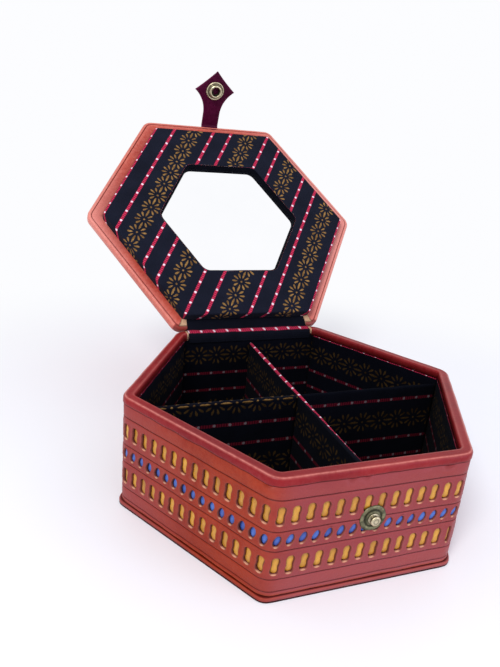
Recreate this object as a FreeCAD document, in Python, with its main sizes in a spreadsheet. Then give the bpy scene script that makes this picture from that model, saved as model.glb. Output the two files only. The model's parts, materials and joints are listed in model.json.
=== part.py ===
"""Hexagonal leather jewellery case with a mirror lid, a snap strap and four compartments.

Frame: +Z up, the case rests on Z = 0, the origin is the middle of its underside.
The snap is on the -Y wall and the hinge on the +Y wall.  Two corners lie on the X axis.
The lid is drawn shut about its own middle and then turned open about the hinge line.
All sizes are in millimetres and live in the spreadsheet "Sizes".
"""
import FreeCAD, Part
import math
import os

import Sketcher
from FreeCAD import Placement, Rotation, Vector

SIZES = [
    ("side_length", 100.0, "outer side of the hexagonal wall, corner to corner of one face"),
    ("body_height", 65.0, "floor to the top of the rim"),
    ("corner_round", 9.0, "outer radius of the upright corners"),
    ("leather_thick", 1.6, "wall leather"),
    ("lacing_thick", 0.6, "flat lace behind the punched leather"),
    ("board_thick", 2.4, "wall board"),
    ("board_end_ease", 0.8, "extra rounding of the board ends"),
    ("lining_thick", 1.1, "cloth-covered card inside each wall"),
    ("turn_in_depth", 5.0, "how far the leather turns down inside the rim"),
    ("rim_round", 2.2, "outer rounding of the rim"),
    ("rim_inner_round", 0.8, "inner rounding of the rim"),
    ("base_cover_thick", 0.8, "leather sheet under the base"),
    ("base_board_thick", 1.8, "base board"),
    ("base_lip", 0.8, "how far the base stands out past the walls"),
    ("floor_thick", 1.5, "cloth-covered card on the base"),
    ("divider_thick", 2.4, "cloth-covered divider"),
    ("divider_drop", 8.2, "rim to the top of the dividers"),
    ("fit_gap", 0.2, "card to card clearance"),
    ("upper_row_height", 45.7, "middle of the upper yellow row"),
    ("middle_row_height", 32.7, "middle of the blue row"),
    ("lower_row_height", 19.4, "middle of the lower yellow row"),
    ("long_slot_width", 4.2, "yellow slot"),
    ("long_slot_height", 8.6, "yellow slot"),
    ("short_slot_width", 3.2, "blue slot"),
    ("short_slot_height", 5.6, "blue slot"),
    ("lace_overlap", 0.6, "how far a lace is hidden above and below its slots"),
    ("long_slots", 14, "yellow slots on one wall"),
    ("short_slots", 16, "blue slots on one wall"),
    ("snap_height", 37.5, "middle of the snap stud above the floor"),
    ("washer_diameter", 13.5, "snap washer"),
    ("washer_thick", 0.8, "snap washer"),
    ("stud_flange_diameter", 5.6, "snap stud"),
    ("stud_flange_thick", 0.6, "snap stud"),
    ("stud_neck_diameter", 3.6, "snap stud"),
    ("stud_head_diameter", 5.0, "snap stud"),
    ("stud_height", 2.8, "washer face to the tip of the stud"),
    ("rivet_diameter", 2.6, "post of the rivet that holds the stud"),
    ("rivet_head_diameter", 8.0, "rivet head behind the wall board"),
    ("rivet_head_thick", 0.7, "rivet head behind the wall board"),
    ("rivet_clearance", 0.2, "rivet post to the hole around it"),
    ("lid_overhang", 2.5, "how much longer the lid's sides are than the wall's"),
    ("lid_round", 8.0, "outer radius of the lid's corners"),
    ("lid_edge_round", 2.4, "rolled edge of the lid"),
    ("lid_leather_thick", 1.2, "lid leather"),
    ("lid_board_thick", 4.6, "lid board"),
    ("lid_gap", 0.3, "rim to the shut lid"),
    ("panel_gap", 1.5, "lid panel to the inside of the rim"),
    ("panel_depth", 7.0, "how far the panel stands out of the lid's border"),
    ("panel_round", 3.0, "corner radius of the lid panel"),
    ("cloth_thick", 0.5, "cloth on the lid panel"),
    ("window_side", 52.0, "side of the mirror window"),
    ("window_round", 7.0, "corner radius of the mirror window"),
    ("mirror_lip", 3.0, "how far the mirror runs under the felt"),
    ("mirror_thick", 2.0, "mirror"),
    ("hinge_end", 6.0, "corner of the wall to the end of the hinges"),
    ("hinge_leather_thick", 0.8, "leather hinge"),
    ("hinge_cloth_thick", 0.4, "cloth hinge"),
    ("hinge_flap", 13.0, "leather hinge on the wall and on the lid"),
    ("cloth_drop", 5.0, "cloth hinge down inside the rim"),
    ("hinge_corner_cut", 2.5, "slant of the leather's cut ends beside the hinge"),
    ("lid_open_angle", 135.5, "from shut to resting open"),
    ("strap_rest_fold", 65.5, "how far the strap bends in from the plane of the lid"),
    ("strap_width", 13.2, "neck of the strap"),
    ("strap_thick", 1.2, "strap"),
    ("strap_neck", 10.5, "fold to the start of the flare"),
    ("strap_point_width", 31.0, "across the pointed end"),
    ("strap_point_length", 14.6, "snap to the tip"),
    ("strap_fold_gap", 0.6, "lid edge to the fold line"),
    ("strap_tail", 8.0, "strap hidden under the lid panel"),
    ("strap_hole_diameter", 4.2, "hole for the snap's stem"),
    ("socket_diameter", 14.0, "snap socket flange"),
    ("socket_barrel_diameter", 10.6, "snap socket barrel"),
    ("socket_bore_diameter", 6.4, "snap socket mouth"),
    ("socket_flange_thick", 0.5, "snap socket"),
    ("socket_height", 3.0, "snap socket"),
    ("cap_diameter", 14.0, "snap cap"),
    ("cap_height", 1.6, "snap cap"),
    ("cap_rim_thick", 0.6, "snap cap"),
]

APOTHEM = "Sizes.side_length*cos(30)"
WALL_BASE = "(Sizes.base_cover_thick+Sizes.base_board_thick)"
BOARD_TOP = "(Sizes.body_height-Sizes.leather_thick)"
LEATHER_IN = f"({APOTHEM}-Sizes.leather_thick)"
LEATHER_IN_ROUND = "(Sizes.corner_round-Sizes.leather_thick)"
BOARD_OUT = f"({LEATHER_IN}-Sizes.lacing_thick)"
LACE_IN_ROUND = "(Sizes.corner_round-Sizes.leather_thick-Sizes.lacing_thick)"
BOARD_IN = f"({BOARD_OUT}-Sizes.board_thick)"
LINING_IN = f"({BOARD_IN}-Sizes.lining_thick)"
FLOOR_TOP = f"({WALL_BASE}+Sizes.floor_thick)"
DIVIDER_TOP = "(Sizes.body_height-Sizes.divider_drop)"
LINING_TOP = "(Sizes.body_height-Sizes.turn_in_depth-Sizes.fit_gap)"

PIVOT_Y = f"({APOTHEM}+Sizes.hinge_leather_thick/2)"
PIVOT_Z = "(Sizes.body_height+Sizes.lid_gap)"
LID_APOTHEM = "(Sizes.side_length+Sizes.lid_overhang)*cos(30)"
LID_BACK_GAP = "(Sizes.hinge_leather_thick/2+0.1)"
LID_CENTRE = f"({LID_APOTHEM}+{LID_BACK_GAP})"
HINGE_WIDTH = "(Sizes.side_length-2*Sizes.hinge_end)"
LID_THICK = "(2*Sizes.lid_leather_thick+Sizes.lid_board_thick)"
PANEL_APOTHEM = f"({LINING_IN}-Sizes.panel_gap)"
PANEL_SHIFT = f"({LID_CENTRE}-{PIVOT_Y})"
WINDOW_APOTHEM = "Sizes.window_side*cos(30)"
MIRROR_FACE = "(Sizes.mirror_thick-Sizes.lid_leather_thick)"
STRAP_REACH = f"({LID_APOTHEM}+Sizes.strap_fold_gap+{LID_CENTRE})"
SOCKET_REACH = f"({PIVOT_Z}+Sizes.strap_thick/2-Sizes.snap_height)"

SIDE_NAMES = ["front", "front_right", "back_right", "back", "back_left", "front_left"]

doc = FreeCAD.newDocument("jewellery_case")
sheet = doc.addObject("Spreadsheet::Sheet", "Sizes")
for row, (alias, value, note) in enumerate(SIZES, start=1):
    sheet.set(f"A{row}", alias)
    sheet.set(f"B{row}", str(value))
    sheet.set(f"C{row}", note)
    sheet.setAlias(f"B{row}", alias)
doc.recompute()

sub_parts = []


def number(expression):
    """The present value of an expression over the spreadsheet."""
    result = sheet.evalExpression(expression)
    return float(getattr(result, "Value", result))


def register(piece, label):
    piece.Label = label
    sub_parts.append(piece)
    return piece


# ---------------------------------------------------------------- bodies and sketches

def new_body(name):
    body = doc.addObject("PartDesign::Body", "Body_" + name)
    return register(body, name)


def origin_plane(body, role):
    for feature in body.Origin.OriginFeatures:
        if feature.Role == role:
            return feature
    raise ValueError("no plane " + role)


def new_sketch(body, name, role, offset="0"):
    sketch = body.newObject("Sketcher::SketchObject", f"{body.Label}_{name}")
    sketch.AttachmentSupport = [(origin_plane(body, role), "")]
    sketch.MapMode = "FlatFace"
    if offset != "0":
        sketch.AttachmentOffset = Placement(Vector(0, 0, number(offset)), Rotation())
        sketch.setExpression("AttachmentOffset.Base.z", offset)
    return sketch


def bind(sketch, constraint, name, expression):
    index = sketch.addConstraint(constraint)
    sketch.renameConstraint(index, name)
    sketch.setExpression("Constraints." + name, expression)


def pin_point(sketch, geometry, end, tag, across, up):
    """Tie one end of an edge to the sketch's origin with two named sizes."""
    for axis, expression in (("X", across), ("Y", up)):
        value = number(expression)
        if abs(value) < 1e-9:
            on_axis = -2 if axis == "X" else -1
            sketch.addConstraint(Sketcher.Constraint("PointOnObject", geometry, end, on_axis))
        else:
            size = Sketcher.Constraint("Distance" + axis, -1, 1, geometry, end, value)
            bind(sketch, size, f"{tag}_{axis}", expression)


def outline(sketch, corners, tag="p"):
    """A closed outline of straight edges, each corner given as two expressions."""
    points = [Vector(number(across), number(up), 0) for across, up in corners]
    edges = []
    for start, stop in zip(points, points[1:] + points[:1]):
        edges.append(sketch.addGeometry(Part.LineSegment(start, stop), False))
    for index, edge in enumerate(edges):
        following = edges[(index + 1) % len(edges)]
        sketch.addConstraint(Sketcher.Constraint("Coincident", edge, 2, following, 1))
        pin_point(sketch, edge, 1, f"{tag}{index}", *corners[index])
    return edges


def hexagon(sketch, apothem, rounding, tag="hex"):
    """A regular hexagon about the origin, two sides parallel to X, with rounded corners."""
    radius = number(rounding)
    spread = (number(apothem) - radius) / math.cos(math.radians(30))
    angles = [math.radians(240 + 60 * index) for index in range(6)]
    centres = [Vector(spread * math.cos(a), spread * math.sin(a), 0) for a in angles]
    guide = sketch.addGeometry(Part.Circle(Vector(), Vector(0, 0, 1), spread), True)
    sketch.addConstraint(Sketcher.Constraint("Coincident", guide, 3, -1, 1))
    ring = Sketcher.Constraint("Radius", guide, spread)
    bind(sketch, ring, tag + "_spread", f"(({apothem})-({rounding}))/cos(30)")
    arcs = []
    lines = []
    for index, centre in enumerate(centres):
        middle = angles[index]
        circle = Part.Circle(centre, Vector(0, 0, 1), radius)
        span = math.radians(30)
        arcs.append(sketch.addGeometry(Part.ArcOfCircle(circle, middle - span, middle + span), False))
    for index in range(6):
        normal = angles[index] + math.radians(30)
        shift = Vector(math.cos(normal), math.sin(normal), 0) * radius
        start = centres[index] + shift
        stop = centres[(index + 1) % 6] + shift
        lines.append(sketch.addGeometry(Part.LineSegment(start, stop), False))
    for index in range(6):
        sketch.addConstraint(Sketcher.Constraint("PointOnObject", arcs[index], 3, guide))
        sketch.addConstraint(Sketcher.Constraint("Tangent", arcs[index], 2, lines[index], 1))
        sketch.addConstraint(Sketcher.Constraint("Tangent", lines[index], 2, arcs[(index + 1) % 6], 1))
        if index:
            sketch.addConstraint(Sketcher.Constraint("Equal", arcs[0], arcs[index]))
            sketch.addConstraint(Sketcher.Constraint("Equal", lines[0], lines[index]))
    sketch.addConstraint(Sketcher.Constraint("Horizontal", lines[0]))
    bind(sketch, Sketcher.Constraint("Radius", arcs[0], radius), tag + "_round", rounding)


def pad(body, sketch, length, name, midplane=False, reverse=False):
    feature = body.newObject("PartDesign::Pad", f"{body.Label}_{name}")
    feature.Profile = sketch
    feature.Length = number(length)
    feature.setExpression("Length", length)
    if midplane:
        feature.SideType = "Symmetric"
    feature.Reversed = reverse
    sketch.Visibility = False
    doc.recompute()
    return feature


def pocket(body, sketch, length, name, reverse=False):
    """Cut a sketch out of a body, and make sure that something was cut."""
    before = body.Shape.Volume
    feature = body.newObject("PartDesign::Pocket", f"{body.Label}_{name}")
    feature.Profile = sketch
    feature.Length = number(length)
    feature.setExpression("Length", length)
    feature.Reversed = reverse
    doc.recompute()
    if body.Shape.Volume > before - 0.01:
        raise ValueError(f"{feature.Name} cuts nothing")
    return feature


def hexagon_pad(body, apothem, rounding, bottom, height, name):
    sketch = new_sketch(body, name + "_outline", "XY_Plane", bottom)
    hexagon(sketch, apothem, rounding)
    return pad(body, sketch, height, name)


def hexagon_pocket(body, apothem, rounding, bottom, height, name):
    """Cut a hexagonal prism that starts at a height and runs upwards."""
    sketch = new_sketch(body, name + "_outline", "XY_Plane", bottom)
    hexagon(sketch, apothem, rounding)
    return pocket(body, sketch, height, name, reverse=True)


def round_edges(body, feature, picked, radius, name):
    fillet = body.newObject("PartDesign::Fillet", f"{body.Label}_{name}")
    fillet.Base = (feature, picked)
    fillet.Radius = number(radius)
    fillet.setExpression("Radius", radius)
    doc.recompute()
    return fillet


def edges_where(shape, test):
    """Names of the edges whose box passes a test."""
    return [f"Edge{i}" for i, edge in enumerate(shape.Edges, start=1) if test(edge.BoundBox)]


def place(piece, across="0", up="0", axis=Vector(0, 0, 1), angle="0"):
    """Put a piece at (0, across, up), turned about an axis."""
    position = Vector(0, number(across), number(up))
    piece.Placement = Placement(position, Rotation(axis, number(angle)))
    piece.setExpression("Placement.Base.y", across)
    piece.setExpression("Placement.Base.z", up)
    if angle != "0":
        piece.setExpression("Placement.Rotation.Angle", angle)


def place_on_lid(piece, middle):
    """Turn a piece open with the lid; middle is its distance from the hinge line."""
    across = f"{PIVOT_Y}-{middle}*cos(Sizes.lid_open_angle)"
    up = f"{PIVOT_Z}+{middle}*sin(Sizes.lid_open_angle)"
    place(piece, across, up, Vector(-1, 0, 0), "Sizes.lid_open_angle")


def place_on_strap(piece):
    """Put a piece on the strap's fold line, bent in from the lid's plane."""
    lift = "Sizes.strap_thick/2"
    across = (f"{PIVOT_Y}-{STRAP_REACH}*cos(Sizes.lid_open_angle)"
              f"+{lift}*sin(Sizes.lid_open_angle)")
    up = (f"{PIVOT_Z}+{STRAP_REACH}*sin(Sizes.lid_open_angle)"
          f"+{lift}*cos(Sizes.lid_open_angle)")
    place(piece, across, up, Vector(-1, 0, 0), "Sizes.lid_open_angle-Sizes.strap_rest_fold")


# ---------------------------------------------------------------- case: base, walls, lining

def make_base():
    outline_apothem = f"({APOTHEM}+Sizes.base_lip)"
    rounding = "(Sizes.corner_round+Sizes.base_lip)"
    cover = new_body("base_cover")
    hexagon_pad(cover, outline_apothem, rounding, "0", "Sizes.base_cover_thick", "sheet")
    board = new_body("base_board")
    hexagon_pad(board, outline_apothem, rounding, "Sizes.base_cover_thick",
                "Sizes.base_board_thick", "board")
    floor = new_body("floor_lining")
    hexagon_pad(floor, f"({LINING_IN}-Sizes.fit_gap)", "Sizes.fit_gap", WALL_BASE,
                "Sizes.floor_thick", "card")


def mitred_plate(body, outer, inner, bottom, top, rounding="0"):
    """A flat plate on the -Y side, mitred at both ends.

    The outer corners are cut back to stay inside a rounded corner of that radius.
    """
    sketch = new_sketch(body, "plan", "XY_Plane", bottom)
    inner_half = f"{inner}*tan(30)"
    corners = [(inner_half, f"-{inner}"), (f"-{inner_half}", f"-{inner}")]
    if rounding == "0":
        half = f"{outer}*tan(30)"
        corners += [(f"-{half}", f"-{outer}"), (half, f"-{outer}")]
    else:
        flat_half = f"({outer}-{rounding})*tan(30)"
        corner_reach = f"(({outer}-{rounding})/cos(30)+{rounding})"
        corner_across = f"{corner_reach}*sin(30)"
        corner_up = f"-{corner_reach}*cos(30)"
        corners += [(f"-{corner_across}", corner_up), (f"-{flat_half}", f"-{outer}"),
                    (flat_half, f"-{outer}"), (corner_across, corner_up)]
    outline(sketch, corners)
    return pad(body, sketch, f"{top}-{bottom}", "plate")


def make_wall_boards():
    for index, side in enumerate(SIDE_NAMES):
        board = new_body("wall_board_" + side)
        mitred_plate(board, BOARD_OUT, BOARD_IN, WALL_BASE, BOARD_TOP,
                     f"({LACE_IN_ROUND}+Sizes.board_end_ease)")
        if side == "front":
            drill_for_rivet(board)
        place(board, angle=str(60 * index))


def drill_for_rivet(board):
    """A hole for the rivet's post and a recess for its head on the inner face."""
    hole = new_sketch(board, "hole", "XZ_Plane", BOARD_IN)
    circle = Part.Circle(Vector(0, number("Sizes.snap_height"), 0), Vector(0, 0, 1), 1)
    place_circle(hole, circle, "(Sizes.rivet_diameter/2+Sizes.rivet_clearance)")
    pocket(board, hole, "Sizes.board_thick+1", "post_hole", reverse=True)
    recess = new_sketch(board, "recess", "XZ_Plane", BOARD_IN)
    place_circle(recess, circle, "(Sizes.rivet_head_diameter/2+Sizes.rivet_clearance)")
    pocket(board, recess, "Sizes.rivet_head_thick", "head_recess", reverse=True)


def place_circle(sketch, circle, radius):
    """A circle at the snap's height on the sketch's upright axis."""
    circle.Radius = number(radius)
    edge = sketch.addGeometry(circle, False)
    sketch.addConstraint(Sketcher.Constraint("PointOnObject", edge, 3, -2))
    height = Sketcher.Constraint("DistanceY", -1, 1, edge, 3, number("Sizes.snap_height"))
    bind(sketch, height, "height", "Sizes.snap_height")
    bind(sketch, Sketcher.Constraint("Radius", edge, number(radius)), "radius", radius)


def make_lining():
    for index, side in enumerate(SIDE_NAMES):
        card = new_body("lining_" + side)
        top = BOARD_TOP if side == "back" else LINING_TOP
        mitred_plate(card, BOARD_IN, LINING_IN, WALL_BASE, top)
        place(card, angle=str(60 * index))


# ---------------------------------------------------------------- case: leather and laces

def slot(sketch, width, height, middle, across):
    """An upright round-ended slot, its middle at (across, middle)."""
    radius = number(width) / 2
    x = number(across)
    low = number(middle) - number(height) / 2 + radius
    high = number(middle) + number(height) / 2 - radius
    top = sketch.addGeometry(Part.ArcOfCircle(
        Part.Circle(Vector(x, high, 0), Vector(0, 0, 1), radius), 0, math.pi), False)
    left = sketch.addGeometry(Part.LineSegment(Vector(x - radius, high, 0),
                                               Vector(x - radius, low, 0)), False)
    bottom = sketch.addGeometry(Part.ArcOfCircle(
        Part.Circle(Vector(x, low, 0), Vector(0, 0, 1), radius), math.pi, 2 * math.pi), False)
    right = sketch.addGeometry(Part.LineSegment(Vector(x + radius, low, 0),
                                                Vector(x + radius, high, 0)), False)
    sketch.addConstraint(Sketcher.Constraint("Tangent", top, 2, left, 1))
    sketch.addConstraint(Sketcher.Constraint("Tangent", left, 2, bottom, 1))
    sketch.addConstraint(Sketcher.Constraint("Tangent", bottom, 2, right, 1))
    sketch.addConstraint(Sketcher.Constraint("Tangent", right, 2, top, 1))
    sketch.addConstraint(Sketcher.Constraint("Vertical", left))
    bind(sketch, Sketcher.Constraint("Radius", top, radius), "slot_radius", f"{width}/2")
    pin_point(sketch, top, 3, "top", across, f"{middle}+{height}/2-{width}/2")
    bottom_up = f"{middle}-{height}/2+{width}/2"
    low_end = Sketcher.Constraint("DistanceY", -1, 1, bottom, 3, low)
    bind(sketch, low_end, "bottom_height", bottom_up)


def punch_row(body, name, width, height, middle, count):
    """Punch one slot near the end of the -Y wall, then repeat it along and around."""
    pitch = f"{wall_run()}/{count}"
    first = f"-{pitch}*({count}-1)/2"
    sketch = new_sketch(body, name + "_slot", "XZ_Plane", f"({APOTHEM}+0.5)")
    slot(sketch, width, height, middle, first)
    depth = "Sizes.leather_thick+Sizes.corner_round/3"
    cut = pocket(body, sketch, depth, name + "_punch", reverse=False)
    pattern = body.newObject("PartDesign::MultiTransform", f"{body.Label}_{name}_row")
    pattern.Originals = [cut]
    along = body.newObject("PartDesign::LinearPattern", f"{body.Label}_{name}_along")
    along.Direction = (sketch, ["H_Axis"])
    along.Length = number(f"{pitch}*({count}-1)")
    along.setExpression("Length", f"{pitch}*({count}-1)")
    along.Occurrences = int(number(count))
    along.setExpression("Occurrences", count)
    around = body.newObject("PartDesign::PolarPattern", f"{body.Label}_{name}_around")
    around.Axis = (origin_plane(body, "Z_Axis"), [""])
    around.Angle = 360
    around.Occurrences = 6
    pattern.Transformations = [along, around]
    body.Tip = pattern
    doc.recompute()
    return pattern


def wall_run():
    """Length of one wall along the outside, with its share of the rounded corners."""
    lost = "(2*tan(30)-pi/3)"
    return f"(Sizes.side_length-Sizes.corner_round*{lost})"


def make_wall_leather():
    body = new_body("wall_leather")
    height = f"Sizes.body_height-{WALL_BASE}"
    outer = hexagon_pad(body, APOTHEM, "Sizes.corner_round", WALL_BASE, height, "block")
    top = number("Sizes.body_height")
    picked = edges_where(outer.Shape, lambda box: box.ZMin > top - 0.01)
    round_edges(body, outer, picked, "Sizes.rim_round", "rim")
    hexagon_pocket(body, LEATHER_IN, LEATHER_IN_ROUND, WALL_BASE,
                   f"{BOARD_TOP}-{WALL_BASE}", "board_space")
    band = new_sketch(body, "turn_in_outline", "XY_Plane", "Sizes.body_height-Sizes.turn_in_depth")
    hexagon(band, BOARD_IN, "Sizes.fit_gap", "outer")
    hexagon(band, LINING_IN, "Sizes.fit_gap", "inner")
    pad(body, band, "Sizes.turn_in_depth-Sizes.leather_thick", "turn_in")
    mouth = hexagon_pocket(body, LINING_IN, "Sizes.fit_gap", BOARD_TOP,
                           "Sizes.leather_thick+1", "mouth")
    reach = number(LINING_IN) / math.cos(math.radians(30))
    picked = edges_where(mouth.Shape, lambda box: box.ZMin > top - 0.01 and box.XMax <= reach
                         and box.XMin >= -reach and max(abs(box.YMin), abs(box.YMax)) <= reach
                         and math.hypot(box.Center.x, box.Center.y) < reach)
    round_edges(body, mouth, picked, "Sizes.rim_inner_round", "rim_inside")
    cut = new_sketch(body, "hinge_cut_plan", "XY_Plane", BOARD_TOP)
    half = f"({HINGE_WIDTH}/2+Sizes.fit_gap)"
    outline(cut, [(f"-{half}", f"{LINING_IN}-5"), (half, f"{LINING_IN}-5"),
                  (half, f"{APOTHEM}+5"), (f"-{half}", f"{APOTHEM}+5")])
    pocket(body, cut, "Sizes.leather_thick+1", "hinge_cut", reverse=True)
    inside = new_sketch(body, "hinge_inside_plan", "XY_Plane", f"{LINING_TOP}-1")
    outline(inside, [(f"-{BOARD_IN}*tan(30)", f"{LINING_IN}-5"),
                     (f"{BOARD_IN}*tan(30)", f"{LINING_IN}-5"),
                     (f"{BOARD_IN}*tan(30)", BOARD_IN), (f"-{BOARD_IN}*tan(30)", BOARD_IN)])
    pocket(body, inside, f"{BOARD_TOP}-{LINING_TOP}+1", "hinge_inside", reverse=True)
    hole = new_sketch(body, "rivet_hole", "XZ_Plane", f"({APOTHEM}+0.5)")
    circle = Part.Circle(Vector(0, number("Sizes.snap_height"), 0), Vector(0, 0, 1), 1)
    place_circle(hole, circle, "(Sizes.rivet_diameter/2+Sizes.rivet_clearance)")
    pocket(body, hole, "Sizes.leather_thick+1", "rivet_punch")
    long_slot = ("Sizes.long_slot_width", "Sizes.long_slot_height")
    short_slot = ("Sizes.short_slot_width", "Sizes.short_slot_height")
    punch_row(body, "upper", *long_slot, "Sizes.upper_row_height", "Sizes.long_slots")
    punch_row(body, "middle", *short_slot, "Sizes.middle_row_height", "Sizes.short_slots")
    punch_row(body, "lower", *long_slot, "Sizes.lower_row_height", "Sizes.long_slots")


def make_laces():
    for name, height, middle in (("lace_upper_yellow", "Sizes.long_slot_height", "upper"),
                                 ("lace_middle_blue", "Sizes.short_slot_height", "middle"),
                                 ("lace_lower_yellow", "Sizes.long_slot_height", "lower")):
        body = new_body(name)
        tall = f"({height}+2*Sizes.lace_overlap)"
        sketch = new_sketch(body, "band_plan", "XY_Plane", f"Sizes.{middle}_row_height-{tall}/2")
        hexagon(sketch, LEATHER_IN, LEATHER_IN_ROUND, "outer")
        hexagon(sketch, BOARD_OUT, LACE_IN_ROUND, "inner")
        pad(body, sketch, tall, "band")


# ---------------------------------------------------------------- case: dividers

def make_dividers():
    middle = f"({FLOOR_TOP}+{DIVIDER_TOP})/2"
    notch = "(Sizes.divider_thick/2+Sizes.fit_gap)"
    long_end = f"({LINING_IN}-Sizes.fit_gap)"
    cross_end = f"({LINING_IN}/cos(30)-Sizes.divider_thick/2*tan(30)-2*Sizes.fit_gap)"
    for name, role, end, lapped_top in (("divider_long", "YZ_Plane", long_end, False),
                                        ("divider_cross", "XZ_Plane", cross_end, True)):
        body = new_body(name)
        sketch = new_sketch(body, "side", role)
        if lapped_top:
            notch_floor = f"{middle}-Sizes.fit_gap/2"
            corners = [(f"-{end}", FLOOR_TOP), (end, FLOOR_TOP), (end, DIVIDER_TOP),
                       (notch, DIVIDER_TOP), (notch, notch_floor), (f"-{notch}", notch_floor),
                       (f"-{notch}", DIVIDER_TOP), (f"-{end}", DIVIDER_TOP)]
        else:
            notch_roof = f"{middle}+Sizes.fit_gap/2"
            corners = [(f"-{end}", FLOOR_TOP), (f"-{notch}", FLOOR_TOP),
                       (f"-{notch}", notch_roof), (notch, notch_roof), (notch, FLOOR_TOP),
                       (end, FLOOR_TOP), (end, DIVIDER_TOP), (f"-{end}", DIVIDER_TOP)]
        outline(sketch, corners)
        pad(body, sketch, "Sizes.divider_thick", "card", midplane=True)


# ---------------------------------------------------------------- hinges

def make_hinges():
    """Both hinges are drawn as they lie with the lid open, from the wall to the lid."""
    make_leather_hinge()
    make_cloth_hinge()


def lid_point(distance, depth):
    """Side-view position of a point on the open lid.

    distance runs along the lid from the hinge line, depth runs from the lid's inner
    face towards its outside.
    """
    across = (f"{PIVOT_Y}-({distance})*cos(Sizes.lid_open_angle)"
              f"+({depth})*sin(Sizes.lid_open_angle)")
    up = (f"{PIVOT_Z}+({distance})*sin(Sizes.lid_open_angle)"
          f"+({depth})*cos(Sizes.lid_open_angle)")
    return across, up


def make_leather_hinge():
    """A strip down the outside of the wall and over the lid's back edge."""
    body = new_body("hinge_leather")
    sketch = new_sketch(body, "side", "YZ_Plane")
    thick = "Sizes.hinge_leather_thick"
    wall_foot = f"{BOARD_TOP}-Sizes.hinge_flap"
    back = LID_BACK_GAP
    outline(sketch, [
        (APOTHEM, wall_foot),
        (f"{APOTHEM}+{thick}", wall_foot),
        (f"{APOTHEM}+{thick}", f"{BOARD_TOP}-{thick}"),
        lid_point(f"{back}-{thick}", f"{LID_THICK}+{thick}"),
        lid_point("Sizes.hinge_flap", f"{LID_THICK}+{thick}"),
        lid_point("Sizes.hinge_flap", LID_THICK),
        lid_point(back, LID_THICK),
        lid_point(back, "Sizes.lid_leather_thick+Sizes.fit_gap"),
        (APOTHEM, BOARD_TOP),
    ])
    pad(body, sketch, HINGE_WIDTH, "strip", midplane=True)


def make_cloth_hinge():
    """A cloth from under the lid panel, over the back rim and down inside the wall."""
    body = new_body("hinge_cloth")
    sketch = new_sketch(body, "side", "YZ_Plane")
    thick = "Sizes.hinge_cloth_thick"
    board_face = "Sizes.lid_leather_thick"
    panel_edge = f"({PIVOT_Y}-{PANEL_APOTHEM}-0.1)"
    foot = f"{BOARD_TOP}-Sizes.cloth_drop"
    outline(sketch, [
        (LINING_IN, foot),
        (LINING_IN, BOARD_TOP),
        (f"{APOTHEM}-0.2", BOARD_TOP),
        lid_point(f"{LID_BACK_GAP}+0.3", board_face),
        lid_point(panel_edge, board_face),
        lid_point(panel_edge, f"{board_face}-{thick}"),
        lid_point(f"{LID_BACK_GAP}+0.3", f"{board_face}-{thick}"),
        (f"{APOTHEM}-1.2", f"{BOARD_TOP}+{thick}"),
        (f"{LINING_IN}-{thick}", f"{BOARD_TOP}+{thick}"),
        (f"{LINING_IN}-{thick}", foot),
    ])
    pad(body, sketch, f"{HINGE_WIDTH}-1", "sheet", midplane=True)


# ---------------------------------------------------------------- lid

def make_lid_board():
    body = new_body("lid_board")
    hexagon_pad(body, f"({LID_APOTHEM}-Sizes.lid_leather_thick)",
                "(Sizes.lid_round-Sizes.lid_leather_thick)", "Sizes.lid_leather_thick",
                "Sizes.lid_board_thick", "board")
    place_on_lid(body, LID_CENTRE)


def make_lid_leather():
    """Outer leather, its edges and the border that is turned in around the panel."""
    body = new_body("lid_leather")
    block = hexagon_pad(body, LID_APOTHEM, "Sizes.lid_round", "0", LID_THICK, "block")
    picked = edges_where(block.Shape, lambda box: box.ZLength < 0.01)
    round_edges(body, block, picked, "Sizes.lid_edge_round", "edge")
    inner = f"({PANEL_APOTHEM}-{PANEL_SHIFT}+0.1)"
    sketch = new_sketch(body, "panel_cut_plan", "XY_Plane")
    side = f"({PANEL_APOTHEM}+0.1)/cos(30)"
    corners = []
    for angle in range(240, 600, 60):
        corners.append((f"{side}*cos({angle})", f"{side}*sin({angle})+{PANEL_SHIFT}"))
    outline(sketch, corners)
    pocket(body, sketch, "Sizes.lid_leather_thick", "panel_cut", reverse=True)
    hexagon_pocket(body, f"({LID_APOTHEM}-Sizes.lid_leather_thick)",
                   "(Sizes.lid_round-Sizes.lid_leather_thick)", "Sizes.lid_leather_thick",
                   "Sizes.lid_board_thick", "board_space")
    cut = new_sketch(body, "hinge_cut_plan", "XY_Plane")
    narrow = f"({HINGE_WIDTH}/2+Sizes.fit_gap)"
    wide = f"({narrow}+Sizes.hinge_corner_cut)"
    outline(cut, [(f"-{narrow}", inner), (narrow, inner), (wide, f"{LID_APOTHEM}+1"),
                  (f"-{wide}", f"{LID_APOTHEM}+1")])
    pocket(body, cut, "Sizes.lid_leather_thick", "hinge_cut", reverse=True)
    notch = new_sketch(body, "strap_notch_plan", "XY_Plane")
    half = "(Sizes.strap_width/2+0.15)"
    start = f"-({PANEL_APOTHEM}-{PANEL_SHIFT}-1)"
    outline(notch, [(f"-{half}", f"-({LID_APOTHEM}+1)"), (half, f"-({LID_APOTHEM}+1)"),
                    (half, start), (f"-{half}", start)])
    pocket(body, notch, "Sizes.lid_leather_thick+0.1", "strap_notch", reverse=True)
    place_on_lid(body, LID_CENTRE)


def make_mirror():
    body = new_body("mirror")
    hexagon_pad(body, f"({WINDOW_APOTHEM}+Sizes.mirror_lip)", "Sizes.window_round",
                f"-{MIRROR_FACE}", "Sizes.mirror_thick", "glass")
    place_on_lid(body, PIVOT_Y)


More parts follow.
